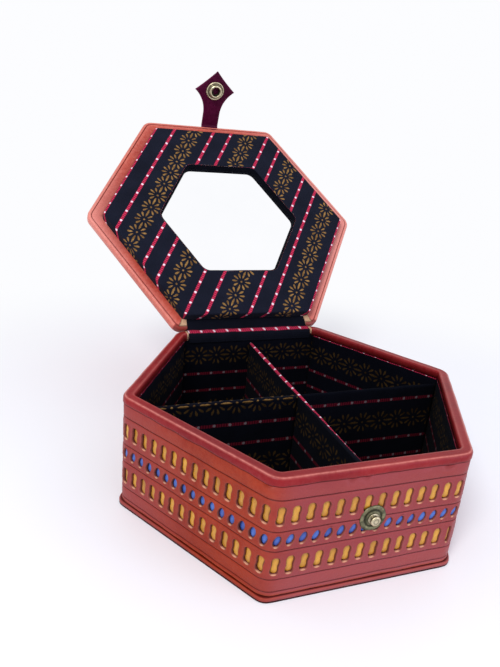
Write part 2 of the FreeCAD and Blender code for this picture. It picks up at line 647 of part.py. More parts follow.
def make_panel():
    """Felt frame with a window, and the cloth that is wrapped around it."""
    felt_face = "(Sizes.panel_depth-Sizes.cloth_thick)"
    felt_out = f"({PANEL_APOTHEM}-Sizes.cloth_thick)"
    felt_round = "(Sizes.panel_round-Sizes.cloth_thick)"
    window = f"({WINDOW_APOTHEM}+Sizes.cloth_thick)"
    window_round = "(Sizes.window_round+Sizes.cloth_thick)"
    felt = new_body("panel_felt")
    hexagon_pad(felt, felt_out, felt_round, f"-{felt_face}",
                f"{felt_face}+Sizes.lid_leather_thick", "felt")
    hexagon_pocket(felt, window, window_round, f"-{felt_face}", "Sizes.panel_depth*2", "window")
    hexagon_pocket(felt, f"({WINDOW_APOTHEM}+Sizes.mirror_lip+Sizes.fit_gap)",
                   "(Sizes.window_round+Sizes.fit_gap)", f"-({MIRROR_FACE}+0.1)",
                   "Sizes.panel_depth", "mirror_rebate")
    notch = new_sketch(felt, "strap_notch_plan", "XY_Plane", "-0.1")
    half = "(Sizes.strap_width/2+0.15)"
    tail = f"-({PANEL_APOTHEM}-Sizes.strap_tail-0.3)"
    outline(notch, [(f"-{half}", f"-({PANEL_APOTHEM}+1)"), (half, f"-({PANEL_APOTHEM}+1)"),
                    (half, tail), (f"-{half}", tail)])
    pocket(felt, notch, "Sizes.lid_leather_thick+1", "strap_notch", reverse=True)
    place_on_lid(felt, PIVOT_Y)

    cloth = new_body("panel_cloth")
    hexagon_pad(cloth, PANEL_APOTHEM, "Sizes.panel_round", "-Sizes.panel_depth",
                "Sizes.panel_depth-0.1", "block")
    sleeve = new_sketch(cloth, "felt_space_plan", "XY_Plane", f"-{felt_face}")
    hexagon(sleeve, felt_out, felt_round, "outer")
    hexagon(sleeve, window, window_round, "inner")
    pocket(cloth, sleeve, "Sizes.panel_depth", "felt_space", reverse=True)
    hexagon_pocket(cloth, WINDOW_APOTHEM, "Sizes.window_round", "-Sizes.panel_depth",
                   "Sizes.panel_depth*2", "window")
    hexagon_pocket(cloth, f"({window}+0.1)", window_round, f"-({MIRROR_FACE}+0.1)",
                   "Sizes.panel_depth", "mirror_clearance")
    place_on_lid(cloth, PIVOT_Y)


# ---------------------------------------------------------------- strap

def make_strap_anchor():
    """The part of the strap that is held under the lid panel, up to the fold."""
    body = new_body("strap_anchor")
    sketch = new_sketch(body, "plan", "XY_Plane")
    half = "Sizes.strap_width/2"
    edge = f"-({LID_APOTHEM}+Sizes.strap_fold_gap-Sizes.strap_thick/2-Sizes.fit_gap)"
    tail = f"-({PANEL_APOTHEM}-{PANEL_SHIFT}-Sizes.strap_tail)"
    outline(sketch, [(f"-{half}", edge), (half, edge), (half, tail), (f"-{half}", tail)])
    pad(body, sketch, "Sizes.strap_thick", "tab")
    place_on_lid(body, LID_CENTRE)


def make_strap():
    """Neck, hollow flare and pointed end, lying flat about the fold line."""
    body = new_body("strap")
    sketch = new_sketch(body, "plan", "XY_Plane", "-Sizes.strap_thick/2")
    half = "Sizes.strap_width/2"
    point = "Sizes.strap_point_width/2"
    neck = "-Sizes.strap_neck"
    wide = f"-{SOCKET_REACH}"
    tip = f"-({SOCKET_REACH}+Sizes.strap_point_length)"
    flare_width = number(f"({point})-({half})")
    flare_height = number(SOCKET_REACH) - number("Sizes.strap_neck")
    radius = (flare_width ** 2 + flare_height ** 2) / (2 * flare_width)
    sweep = math.atan2(flare_height, radius - flare_width)
    z_axis = Vector(0, 0, 1)
    for sign, tag in ((1, "right"), (-1, "left")):
        centre = Vector(sign * (number(half) + radius), number(neck), 0)
        circle = Part.Circle(centre, z_axis, radius)
        if sign > 0:
            arc = Part.ArcOfCircle(circle, math.pi, math.pi + sweep)
        else:
            arc = Part.ArcOfCircle(circle, 2 * math.pi - sweep, 2 * math.pi)
        neck_end, wide_end = (1, 2) if sign > 0 else (2, 1)
        neck_point = Vector(sign * number(half), number(neck), 0)
        root_point = Vector(sign * number(half), 0, 0)
        wide_point = Vector(sign * number(point), number(wide), 0)
        tip_point = Vector(0, number(tip), 0)
        neck_line = sketch.addGeometry(Part.LineSegment(root_point, neck_point), False)
        flare = sketch.addGeometry(arc, False)
        point_line = sketch.addGeometry(Part.LineSegment(wide_point, tip_point), False)
        side = "" if sign > 0 else "-"
        sketch.addConstraint(Sketcher.Constraint("Coincident", flare, wide_end, point_line, 1))
        sketch.addConstraint(Sketcher.Constraint("Tangent", neck_line, 2, flare, neck_end))
        pin_point(sketch, neck_line, 1, tag + "_root", f"{side}{half}", "0")
        pin_point(sketch, neck_line, 2, tag + "_neck", f"{side}{half}", neck)
        pin_point(sketch, point_line, 1, tag + "_wide", f"{side}{point}", wide)
        pin_point(sketch, point_line, 2, tag + "_tip", "0", tip)
    root = sketch.addGeometry(Part.LineSegment(Vector(-number(half), 0, 0),
                                               Vector(number(half), 0, 0)), False)
    sketch.addConstraint(Sketcher.Constraint("Coincident", root, 1, 3, 1))
    sketch.addConstraint(Sketcher.Constraint("Coincident", root, 2, 0, 1))
    pad(body, sketch, "Sizes.strap_thick", "leather")
    hole = new_sketch(body, "stem_hole", "XY_Plane", "-Sizes.strap_thick/2")
    edge = hole.addGeometry(Part.Circle(Vector(0, number(wide), 0), z_axis, 2), False)
    hole.addConstraint(Sketcher.Constraint("PointOnObject", edge, 3, -2))
    height = Sketcher.Constraint("DistanceY", -1, 1, edge, 3, number(wide))
    bind(hole, height, "reach", wide)
    radius_size = Sketcher.Constraint("Radius", edge, number("Sizes.strap_hole_diameter/2"))
    bind(hole, radius_size, "radius", "Sizes.strap_hole_diameter/2")
    pocket(body, hole, "Sizes.strap_thick", "punch", reverse=True)
    place_on_strap(body)


# ---------------------------------------------------------------- snap fastener

def cylinder(name, radius, height, up="0"):
    solid = doc.addObject("Part::Cylinder", name)
    solid.setExpression("Radius", radius)
    solid.setExpression("Height", height)
    solid.setExpression("Placement.Base.z", up)
    return solid


def join(name, pieces):
    fused = doc.addObject("Part::MultiFuse", name)
    fused.Shapes = pieces
    return fused


def cut_from(name, base, tool):
    cut = doc.addObject("Part::Cut", name)
    cut.Base = base
    cut.Tool = tool
    return cut


def dome(name, radius, height, up):
    """A low round cap cut from a sphere, its flat side at a height."""
    ball = doc.addObject("Part::Sphere", name)
    ball_radius = f"((({radius})^2+({height})^2)/(2*({height})))"
    ball.setExpression("Radius", ball_radius)
    ball.setExpression("Angle1", f"asin(({ball_radius}-({height}))/{ball_radius})")
    ball.Angle2 = 90
    ball.setExpression("Placement.Base.z", f"({up})+({height})-{ball_radius}")
    return ball


def place_on_snap(piece, outward):
    """Stand a piece, made along +Z, on the front wall so that it points to -Y."""
    place(piece, f"-({APOTHEM}+{outward})", "Sizes.snap_height", Vector(1, 0, 0), "90")


def make_snap_stud():
    bore = "(Sizes.rivet_diameter/2+0.05)"
    washer = cut_from("Washer",
                      join("Washer_disc", [
                          cylinder("Washer_plate", "Sizes.washer_diameter/2",
                                   "Sizes.washer_thick*0.6"),
                          cylinder("Washer_step", "Sizes.washer_diameter/2*0.8",
                                   "Sizes.washer_thick"),
                      ]),
                      cylinder("Washer_hole", bore, "Sizes.washer_thick"))
    register(washer, "snap_washer")
    place_on_snap(washer, "0")

    head_height = "(Sizes.stud_head_diameter*0.24)"
    head_base = f"(Sizes.stud_height-2*{head_height})"
    stud = join("Stud_solid", [
        cylinder("Stud_flange", "Sizes.stud_flange_diameter/2", "Sizes.stud_flange_thick"),
        cylinder("Stud_neck", "Sizes.stud_neck_diameter/2", "Sizes.stud_height-0.3"),
        cylinder("Stud_head", "Sizes.stud_head_diameter/2", head_height, head_base),
        dome("Stud_crown", "Sizes.stud_head_diameter/2", head_height,
             f"{head_base}+{head_height}"),
    ])
    bored = cut_from("Stud", stud, cylinder("Stud_bore", bore, "Sizes.stud_height-0.9"))
    register(bored, "snap_stud")
    place_on_snap(bored, "Sizes.washer_thick")

    depth = f"({APOTHEM}-{BOARD_IN})"
    rivet = join("Rivet", [
        cylinder("Rivet_head", "Sizes.rivet_head_diameter/2", "Sizes.rivet_head_thick"),
        cylinder("Rivet_post", "Sizes.rivet_diameter/2",
                 f"{depth}+Sizes.washer_thick+Sizes.stud_height-1.0"),
    ])
    register(rivet, "snap_rivet")
    place_on_snap(rivet, f"-{depth}")


def make_snap_socket():
    """Socket on the strap's inner face and cap on its outer face."""
    half = "Sizes.strap_thick/2"
    stem_radius = "(Sizes.strap_hole_diameter/2-0.1)"
    barrel = join("Socket_solid", [
        cylinder("Socket_flange", "Sizes.socket_diameter/2", "Sizes.socket_flange_thick",
                 f"-({half}+Sizes.socket_flange_thick)"),
        cylinder("Socket_barrel", "Sizes.socket_barrel_diameter/2", "Sizes.socket_height",
                 f"-({half}+Sizes.socket_height)"),
    ])
    mouth = join("Socket_space", [
        cylinder("Socket_bore", "Sizes.socket_bore_diameter/2",
                 "Sizes.socket_height-Sizes.socket_flange_thick",
                 f"-({half}+Sizes.socket_height)"),
        cylinder("Socket_stem_hole", f"{stem_radius}+0.05", "Sizes.socket_height",
                 f"-({half}+Sizes.socket_height)"),
    ])
    socket = cut_from("Socket", barrel, mouth)
    register(socket, "snap_socket")
    cap = join("Cap", [
        cylinder("Cap_plate", "Sizes.cap_diameter/2", "Sizes.cap_rim_thick", half),
        dome("Cap_dome", "Sizes.cap_diameter/2", "Sizes.cap_height-Sizes.cap_rim_thick",
             f"{half}+Sizes.cap_rim_thick"),
        cylinder("Cap_stem", stem_radius, "Sizes.strap_thick+Sizes.socket_flange_thick",
                 f"-({half}+Sizes.socket_flange_thick)"),
    ])
    register(cap, "snap_cap")
    for piece in (socket, cap):
        place_on_socket(piece)


def place_on_socket(piece):
    """Put a piece at the snap's distance along the resting strap."""
    turn = "(Sizes.lid_open_angle-Sizes.strap_rest_fold)"
    lift = "Sizes.strap_thick/2"
    across = (f"{PIVOT_Y}-{STRAP_REACH}*cos(Sizes.lid_open_angle)"
              f"+{lift}*sin(Sizes.lid_open_angle)-{SOCKET_REACH}*cos({turn})")
    up = (f"{PIVOT_Z}+{STRAP_REACH}*sin(Sizes.lid_open_angle)"
          f"+{lift}*cos(Sizes.lid_open_angle)+{SOCKET_REACH}*sin({turn})")
    place(piece, across, up, Vector(-1, 0, 0), turn)


# ---------------------------------------------------------------- build, check, write

make_base()
make_wall_boards()
make_lining()
make_wall_leather()
make_laces()
make_dividers()
make_hinges()
make_lid_board()
make_lid_leather()
make_mirror()
make_panel()
make_strap_anchor()
make_strap()
make_snap_stud()
make_snap_socket()
doc.recompute()

for item in doc.Objects:
    if "Invalid" in item.State or "Error" in item.State:
        raise ValueError(f"{item.Label} is {item.State}")

os.makedirs("parts", exist_ok=True)
for piece in sub_parts:
    shape = piece.Shape
    if shape.isNull() or not shape.isValid():
        raise ValueError(f"{piece.Label} has no valid shape")
    if len(shape.Solids) != 1:
        raise ValueError(f"{piece.Label} has {len(shape.Solids)} solids")
    shape.exportStep(f"parts/{piece.Label}.step")
    box = shape.BoundBox
    print(f"{piece.Label:24s} volume {shape.Volume:11.1f}  X {box.XMin:7.2f} {box.XMax:7.2f}"
          f"  Y {box.YMin:7.2f} {box.YMax:7.2f}  Z {box.ZMin:7.2f} {box.ZMax:7.2f}")
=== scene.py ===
import json
import math
import random
from functools import cached_property

import bmesh
import bpy
from mathutils import Matrix, Vector, noise


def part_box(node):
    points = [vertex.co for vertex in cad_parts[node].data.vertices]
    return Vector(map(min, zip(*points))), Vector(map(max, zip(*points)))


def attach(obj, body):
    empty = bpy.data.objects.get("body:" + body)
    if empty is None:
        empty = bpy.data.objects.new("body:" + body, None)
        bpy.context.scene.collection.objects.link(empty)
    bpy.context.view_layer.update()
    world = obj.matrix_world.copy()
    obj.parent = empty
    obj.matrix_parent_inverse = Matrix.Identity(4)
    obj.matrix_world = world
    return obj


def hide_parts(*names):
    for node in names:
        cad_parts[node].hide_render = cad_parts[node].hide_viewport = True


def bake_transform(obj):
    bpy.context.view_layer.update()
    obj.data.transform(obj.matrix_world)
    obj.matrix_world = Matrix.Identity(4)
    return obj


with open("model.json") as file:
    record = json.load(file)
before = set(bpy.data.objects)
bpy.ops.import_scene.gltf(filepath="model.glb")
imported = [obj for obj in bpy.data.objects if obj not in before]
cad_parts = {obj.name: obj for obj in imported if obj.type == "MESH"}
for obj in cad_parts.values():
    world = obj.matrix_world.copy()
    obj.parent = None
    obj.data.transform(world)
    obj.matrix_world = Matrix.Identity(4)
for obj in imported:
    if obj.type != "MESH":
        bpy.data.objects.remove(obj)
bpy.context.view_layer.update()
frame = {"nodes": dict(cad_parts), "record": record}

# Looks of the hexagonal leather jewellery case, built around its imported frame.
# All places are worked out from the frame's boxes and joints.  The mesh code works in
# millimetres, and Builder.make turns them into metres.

MM = 0.001
TAN30 = math.tan(math.radians(30))
COS30 = math.cos(math.radians(30))
dice = random.Random(7)


def box_mm(node):
    """Lowest and highest corner of a CAD node in millimetres."""
    low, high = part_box(node)
    return [c / MM for c in low], [c / MM for c in high]


joints = {joint["name"]: joint for joint in frame["record"]["behaviour"]["joints"]}
HINGE = [c / MM for c in joints["lid_hinge"]["pos_m"]]
LID_OPEN = joints["lid_hinge"]["range_deg"][1]
FOLD = [c / MM for c in joints["strap_fold"]["pos_m"]]

# Case sizes, read back from the frame.
WALL_FOOT = box_mm("wall_leather")[0][2]
RIM_TOP = box_mm("wall_leather")[1][2]
BOARD_TOP = box_mm("wall_board_front")[1][2]
LINING_TOP = box_mm("lining_front")[1][2]
APOTHEM = -box_mm("snap_washer")[1][1]
BOARD_IN = -box_mm("wall_board_front")[1][1]
LINING_IN = -box_mm("lining_front")[1][1]
FLOOR_FOOT = box_mm("floor_lining")[0][2]
FLOOR_TOP = box_mm("floor_lining")[1][2]
DIVIDER_HALF = box_mm("divider_long")[1][0]
HINGE_HALF = box_mm("hinge_leather")[1][0]
SNAP_HEIGHT = sum(corner[2] for corner in box_mm("snap_stud")) / 2
LEATHER = 1.6            # thickness of the wall leather


def corner_round(apothem, node):
    """Rounding of a hexagon's corners, from how far the node reaches along X."""
    return (apothem / COS30 - box_mm(node)[1][0]) / (1 / COS30 - 1)


CORNER_ROUND = corner_round(APOTHEM, "wall_leather")


# ---------------------------------------------------------------- mesh helpers

class Builder:
    """Collects points and faces in millimetres, with a weave place and a shade for each point: painted light
    above 0 (on leather also rubbed wear) and painted shade below 0.
    """

    def __init__(self):
        self.points, self.weave, self.shade, self.faces, self.slots = [], [], [], [], []

    def point(self, place, weave=(0.0, 0.0, 0.0), shade=0.0):
        self.points.append(tuple(place))
        self.weave.append(tuple(weave))
        self.shade.append(shade)
        return len(self.points) - 1

    def face(self, ids, slot=0):
        self.faces.append(tuple(ids))
        self.slots.append(slot)

    def strip(self, first, second, slot=0, closed=False):
        """Quads between two rows of points of equal length."""
        last = len(first) if closed else len(first) - 1
        for i in range(last):
            j = (i + 1) % len(first)
            self.face((first[i], first[j], second[j], second[i]), slot)

    def strips(self, rows, slot=0, closed=False):
        """Quads between each row of points and the next."""
        for first, second in zip(rows, rows[1:]):
            self.strip(first, second, slot, closed)

    def fan(self, hub, ring):
        """Triangles from a middle point to a closed row."""
        for a, b in zip(ring, ring[1:] + ring[:1]):
            self.face((hub, a, b))

    def make(self, name, materials, smooth=True):
        mesh = bpy.data.meshes.new(name)
        mesh.from_pydata([(x * MM, y * MM, z * MM) for x, y, z in self.points], [], self.faces)
        for material in materials:
            mesh.materials.append(material)
        mesh.polygons.foreach_set("material_index", self.slots)
        mesh.polygons.foreach_set("use_smooth", [smooth] * len(self.faces))
        weave = mesh.attributes.new("weave", "FLOAT_VECTOR", "POINT")
        weave.data.foreach_set("vector", [c for place in self.weave for c in place])
        shade = mesh.attributes.new("shade", "FLOAT", "POINT")
        shade.data.foreach_set("value", self.shade)
        mesh.validate(clean_customdata=False)
        facing = bmesh.new()
        facing.from_mesh(mesh)
        bmesh.ops.recalc_face_normals(facing, faces=facing.faces)
        facing.to_mesh(mesh)
        facing.free()
        mesh.update()
        piece = bpy.data.objects.new(name, mesh)
        bpy.context.scene.collection.objects.link(piece)
        return piece


def hex_point(run, apothem, rounding, inset=0.0, side=None):
    """A place on a rounded hexagon, anticlockwise from the middle of its +Y side.

    run is measured along the outer edge; inset moves the place inwards.  Returns x, y and
    the outward direction.
    """
    side = side or hex_side(apothem, rounding)
    sharpest = max(0.0, rounding - 1.0)
    shrink = 1.0
    if inset > sharpest:
        shrink = (apothem - inset) / (apothem - sharpest)
        inset = sharpest
    index = math.floor(run / side + 0.5)
    along = run - index * side
    flat = (apothem - rounding) * TAN30
    normal = math.radians(90 + 60 * index)
    turn = 0.0
    if abs(along) <= flat:
        across = along
        out = apothem - inset
    else:
        turn = math.copysign((abs(along) - flat) / rounding, along)
        radius = rounding - inset
        across = math.copysign(flat, along) + radius * math.sin(turn)
        out = apothem - rounding + radius * math.cos(turn)
    x = out * math.cos(normal) - across * math.sin(normal)
    y = out * math.sin(normal) + across * math.cos(normal)
    return x * shrink, y * shrink, normal + turn


def hex_side(apothem, rounding):
    """Length of one side with its share of the rounded corners."""
    return 2 * (apothem - rounding) * TAN30 + rounding * math.pi / 3


def around(apothem, rounding, columns):
    """Even places around a rounded hexagon: the run along its edge, x, y and outward direction."""
    side = hex_side(apothem, rounding)
    for i in range(columns):
        run = i * 6 * side / columns
        yield (run, *hex_point(run, apothem, rounding, 0.0, side))


def quarter(steps, first=0):
    """Sine and cosine on the way through a quarter turn, from step number first."""
    turns = [math.radians(90 / steps * i) for i in range(first, steps + 1)]
    return [(math.sin(turn), math.cos(turn)) for turn in turns]


def lengths(path):
    """How far along a path each of its points lies."""
    run = [0.0]
    for a, b in zip(path, path[1:]):
        run.append(run[-1] + math.dist(a, b))
    return run


def wave(a, b, scale, height):
    """Slow unevenness of a hand-worked surface."""
    return height * noise.noise(Vector((a / scale, b / scale, 3.7)))


# ---------------------------------------------------------------- materials

def dimmed(colour, amount):
    return tuple(c * amount for c in colour)


class Graph:
    """Short names for the nodes of a material.  An input takes another node's output or a value."""

    def __init__(self, tree):
        self.tree = tree

    def feed(self, socket, value):
        if hasattr(value, "is_linked"):
            self.tree.links.new(value, socket)
        elif value is not None:
            socket.default_value = value

    def node(self, kind, inputs, output=0, **settings):
        """A new node with its settings and inputs; returns one of its outputs."""
        node = self.tree.nodes.new("ShaderNode" + kind)
        for name, value in settings.items():
            setattr(node, name, value)
        for name, value in inputs.items():
            self.feed(node.inputs[name], value)
        return node.outputs[output]

    def math(self, operation, a, b=None):
        return self.node("Math", {0: a, 1: b}, operation=operation)

    def plus(self, a, b):
        return self.math("ADD", a, b)

    def minus(self, a, b):
        return self.math("SUBTRACT", a, b)

    def times(self, a, b):
        return self.math("MULTIPLY", a, b)

    def squares(self, a, b):
        return self.plus(self.times(a, a), self.times(b, b))

    def distance(self, a, b):
        return self.math("SQRT", self.squares(a, b))

    def share(self, value, pitch, offset):
        """Fraction of a pitch past the last mark."""
        return self.math("FRACT", self.plus(self.math("DIVIDE", value, pitch), offset))

    def from_mark(self, value, pitch, offset=50.5):
        """Signed distance from the nearest mark, where the marks are one pitch apart."""
        return self.times(self.minus(self.share(value, pitch, offset), 0.5), pitch)

    def mix(self, factor, a, b):
        a, b = (colour if hasattr(colour, "is_linked") else (*colour, 1) for colour in (a, b))
        return self.node("Mix", {"Factor": factor, "A": a, "B": b}, "Result", data_type="RGBA")

    def attribute(self, name, output="Fac"):
        return self.node("Attribute", {}, output, attribute_name=name)

    def noise(self, place, scale, detail=3.0, roughness=0.55):
        return self.node("TexNoise", {"Vector": place, "Scale": scale, "Detail": detail,
                                      "Roughness": roughness}, "Fac")

    def cells(self, place, scale, feature="F1"):
        return self.node("TexVoronoi", {"Vector": place, "Scale": scale}, "Distance", feature=feature)

    def span(self, value, low, high, to_low=0.0, to_high=1.0, smooth=False):
        return self.node("MapRange", {"Value": value, "From Min": low, "From Max": high,
                                      "To Min": to_low, "To Max": to_high}, "Result",
                         interpolation_type="SMOOTHSTEP" if smooth else "LINEAR")

    def scaled(self, place, scale):
        return self.node("Mapping", {"Vector": place, "Scale": scale})

    def split(self, vector):
        node = self.tree.nodes.new("ShaderNodeSeparateXYZ")
        self.feed(node.inputs[0], vector)
        return node.outputs

    def bump(self, height, strength, distance, under=None):
        return self.node("Bump", {"Height": height, "Strength": strength, "Distance": distance,
                                  "Normal": under})


class Surface(Graph):
    """A new material with one Principled shader, its object coordinates and the shade attribute."""

    def __init__(self, name):
        self.material = bpy.data.materials.new(name)
        self.material.use_nodes = True
        super().__init__(self.material.node_tree)
        self.tree.nodes.clear()
        self.output = self.tree.nodes.new("ShaderNodeOutputMaterial")
        self.shader = self.tree.nodes.new("ShaderNodeBsdfPrincipled")
        self.tree.links.new(self.shader.outputs[0], self.output.inputs[0])
        self.place = self.node("TexCoord", {}, "Object")

    @cached_property
    def shade(self):
        return self.attribute("shade")

    def darkened(self, colour, amount, crease):
        """Colour that goes towards the dark colour crease where the shade attribute is below 0, as painted
        shade.
        """
        return self.mix(self.span(self.shade, 0.0, -1.0, 0.0, amount), colour, crease)

    def finish(self, **inputs):
        """Feeds the shader's own sockets, named with _ for a space, and returns the material."""
        for name, value in inputs.items():
            self.feed(self.shader.inputs[name.replace("_", " ")], value)
        return self.material


def leather_material(name, base, deep, wear_and_highlight, rough=0.42, grain=1.0, coat=0.04, gloss=0.12, mottle=0.28,
                     painted_sheen=None, sheen_span=(-0.058, -0.036)):
    """Waxed vegetable-tanned leather: cloudy dye, fine creased grain and rubbed edges.

    The shade attribute above 0 lightens edges, partly as rubbed wear and partly as painted highlight, and below
    0 darkens tooled lines, recesses and gaps with painted shade.  A painted sheen colour comes in over the sheen
    span, which runs in metres across the case, stronger towards the foot, and the foot is painted darker, in
    part as painted shade.
    """
    g = Surface(name)
    place = g.place
    clouds = g.noise(place, 38.0, 4.0, 0.6)
    fine = g.noise(place, 420.0, 5.0, 0.65)
    pores = g.cells(place, 950.0)
    wrinkles = g.cells(g.scaled(place, (1.0, 1.0, 1.6)), 330.0, "DISTANCE_TO_EDGE")
    streaks = g.noise(g.scaled(place, (1.0, 1.0, 0.18)), 700.0, 2.0)
    colour = g.mix(g.span(clouds, 0.32, 0.70), deep, base)
    colour = g.mix(g.span(fine, 0.35, 0.75, 0.0, mottle), colour, wear_and_highlight)
    colour = g.mix(g.span(streaks, 0.50, 0.80, 0.0, mottle / 2), colour, wear_and_highlight)
    # Painted sheen: a paler haze across the sheen span and at the far left, stronger towards the foot.  The foot
    # is also painted darker, in part as painted shade.
    if painted_sheen:
        x, _, z = g.split(place)
        across = g.math("MAXIMUM", g.span(x, *sheen_span, smooth=True), g.span(x, -0.072, -0.100, 0.0, 0.8))
        patch = g.span(clouds, 0.25, 0.75, 0.65, 1.0)
        colour = g.mix(g.times(across, patch), colour, painted_sheen)
        foot = g.times(across, g.span(z, 0.026, 0.004, 0.0, 0.55))
        colour = g.mix(g.span(z, 0.020, 0.004, 0.0, 0.45), colour, deep)
        colour = g.mix(foot, colour, tuple(c ** 0.8 for c in painted_sheen))
    # Above 0 the shade attribute gives rubbed wear and painted highlight; below 0 it gives painted shade in
    # tooled lines, recesses and gaps.
    rub_and_highlight = g.times(g.span(g.shade, 0.0, 1.0), g.span(fine, 0.30, 0.60, 0.55, 1.0))
    colour = g.darkened(g.mix(rub_and_highlight, colour, wear_and_highlight), 0.85, dimmed(deep, 0.28))
    specks = g.span(g.cells(place, 240.0), 0.0, 0.10, 0.35, 0.0)
    low = g.bump(g.noise(place, 90.0, 3.0), 0.25 * grain, 0.0006)
    mid = g.bump(g.span(wrinkles, 0.0, 0.12), 0.28 * grain, 0.00022, low)
    return g.finish(Base_Color=g.mix(specks, colour, deep),
                    Roughness=g.span(fine, 0.3, 0.7, rough - 0.08, rough + 0.12),
                    Coat_Weight=coat, Coat_Roughness=0.30, Specular_IOR_Level=gloss,
                    Specular_Tint=(0.95, 0.80, 1.0, 1.0),
                    Normal=g.bump(g.span(pores, 0.0, 0.6), 0.30 * grain, 0.00012, mid))


def raw_edge_material(name, pale, dark, lit=None):
    """Cut leather edge: layered fibres, with painted light where the shade attribute is above 0 and painted
    shade below 0.
    """
    g = Surface(name)
    fibres = g.noise(g.scaled(g.place, (1.0, 1.0, 4.0)), 900.0, 4.0, 0.7)
    colour = g.mix(g.span(fibres, 0.3, 0.7), dark, pale)
    colour = g.mix(g.span(g.shade, 0.1, 1.0), colour, lit or pale)
    return g.finish(Base_Color=g.darkened(colour, 0.8, dimmed(dark, 0.3)), Roughness=0.75,
                    Normal=g.bump(fibres, 0.5, 0.0003))


def lace_material(name, base, deep, light):
    """Dyed leather thong, each loop a little different, with a painted highlight where it bulges and painted
    shade at its edges.
    """
    g = Surface(name)
    fibre = g.noise(g.scaled(g.place, (1.0, 1.0, 0.35)), 900.0, 4.0, 0.65)
    blot = g.noise(g.place, 160.0, 3.0)
    colour = g.mix(g.span(blot, 0.30, 0.72), deep, base)
    colour = g.mix(g.span(g.shade, 0.0, 1.0, 0.0, 0.75), colour, light)
    colour = g.darkened(colour, 0.80, dimmed(deep, 0.30))
    return g.finish(Base_Color=g.mix(g.span(fibre, 0.35, 0.75, 0.0, 0.35), colour, deep),
                    Roughness=g.span(fibre, 0.3, 0.7, 0.38, 0.62), Coat_Weight=0.2, Coat_Roughness=0.3,
                    Normal=g.bump(fibre, 0.55, 0.0003))


# Block print, in millimetres: pairs of dotted stripes and rows of daisies between them.
PRINT_REPEAT = 39.5
STRIPE_APART = 12.6
STRIPE_HALF = 0.98
DOT_PITCH = 9.0
DAISY_PITCH = 12.1
DAISY_AT = 25.8
PETALS = 10


def daisy(g, across, along):
    """Mask of one daisy about (0, 0): a ring of drop-shaped petals and a middle dot."""
    radius = g.distance(across, along)
    aside = g.times(g.from_mark(g.math("ARCTAN2", across, along), 2 * math.pi / PETALS, 20.5), radius)
    length = g.math("DIVIDE", g.minus(radius, 4.70), 1.95)
    thin = g.math("DIVIDE", aside, g.span(radius, 2.9, 5.9, 0.36, 0.84))
    petal = g.span(g.squares(length, thin), 1.20, 0.75)
    return g.math("MAXIMUM", petal, g.span(radius, 0.85, 0.55))


def print_material(name, cloth_dim, ink_dim, gloss):
    """Navy ribbed cotton, block-printed with dotted stripes and daisies."""
    g = Surface(name)
    place = g.place
    across, along, _ = g.split(g.attribute("weave", "Vector"))
    wobble = g.times(g.minus(g.noise(place, 520.0, 2.0), 0.5), 0.7)
    along_w = g.plus(along, g.times(wobble, -0.8))
    part = g.times(g.share(g.plus(across, wobble), PRINT_REPEAT, 50.0), PRINT_REPEAT)
    near = g.math("MINIMUM", g.math("MINIMUM", part, g.minus(PRINT_REPEAT, part)),
                  g.math("ABSOLUTE", g.minus(part, STRIPE_APART)))
    stripe = g.span(near, STRIPE_HALF + 0.15, STRIPE_HALF - 0.20)
    dot = g.span(g.distance(g.from_mark(along_w, DOT_PITCH), near), 0.98, 0.72)
    row = g.minus(part, DAISY_AT)
    spot = g.from_mark(along_w, DAISY_PITCH)
    beside = g.minus(spot, g.times(g.math("SIGN", spot), DAISY_PITCH))
    flowers = g.math("MAXIMUM", daisy(g, row, spot), daisy(g, row, beside))
    flowers = g.times(flowers, g.span(g.noise(place, 900.0, 3.0, 0.7), 0.28, 0.48, 0.35, 1.0))

    def threads(value, pitch):
        return g.math("SINE", g.times(value, 2 * math.pi / pitch))

    def cotton(red, green, blue):
        return dimmed((red, green, blue), cloth_dim)

    def ink(red, green, blue):
        return dimmed((red, green, blue), ink_dim)

    rib = threads(along, 0.62)
    cloth = g.mix(g.span(g.noise(place, 60.0, 3.0), 0.3, 0.7), cotton(0.0045, 0.0055, 0.0130),
                  cotton(0.0090, 0.0110, 0.0240))
    cloth = g.mix(g.span(rib, -0.2, 1.0, 0.0, 0.38), cloth, cotton(0.024, 0.029, 0.055))
    ochre = g.mix(g.span(g.noise(place, 300.0, 2.0), 0.3, 0.7), ink(0.140, 0.070, 0.020),
                  ink(0.330, 0.185, 0.058))
    crimson = g.mix(g.span(threads(along, 1.5), -0.7, 0.6), ink(0.22, 0.008, 0.028),
                    ink(0.62, 0.035, 0.100))
    colour = g.mix(stripe, g.mix(flowers, cloth, ochre), crimson)
    woven = g.plus(rib, g.times(threads(across, 0.55), 0.8))
    under = g.bump(g.noise(place, 120.0, 2.0), 0.25, 0.0008)
    return g.finish(Base_Color=g.mix(g.times(dot, stripe), colour, ink(0.88, 0.68, 0.78)), Roughness=0.86,
                    Specular_IOR_Level=gloss, Sheen_Weight=gloss * 0.3, Sheen_Roughness=0.5,
                    Normal=g.bump(woven, 0.35, 0.00014, under))


def metal_material(name, base, tarnish, rough, amount):
    """Cast and stamped metal with tarnish in patches and fine scratches."""
    g = Surface(name)
    blot = g.noise(g.place, 420.0, 5.0, 0.7)
    scratch = g.noise(g.scaled(g.place, (1.0, 0.2, 3.0)), 2600.0, 2.0)
    colour = g.mix(g.span(blot, 0.35, 0.65, 0.0, amount), base, tarnish)
    # Below 0 the shade attribute takes the colour nearly black: painted shade in the grooves, under the stud's
    # head and in the socket's well.
    return g.finish(Base_Color=g.darkened(colour, 0.95, dimmed(tarnish, 0.16)), Metallic=1.0,
                    Roughness=g.span(blot, 0.3, 0.7, rough, rough + 0.22),
                    Normal=g.bump(scratch, 0.12, 0.00005, g.bump(blot, 0.35, 0.00025)))


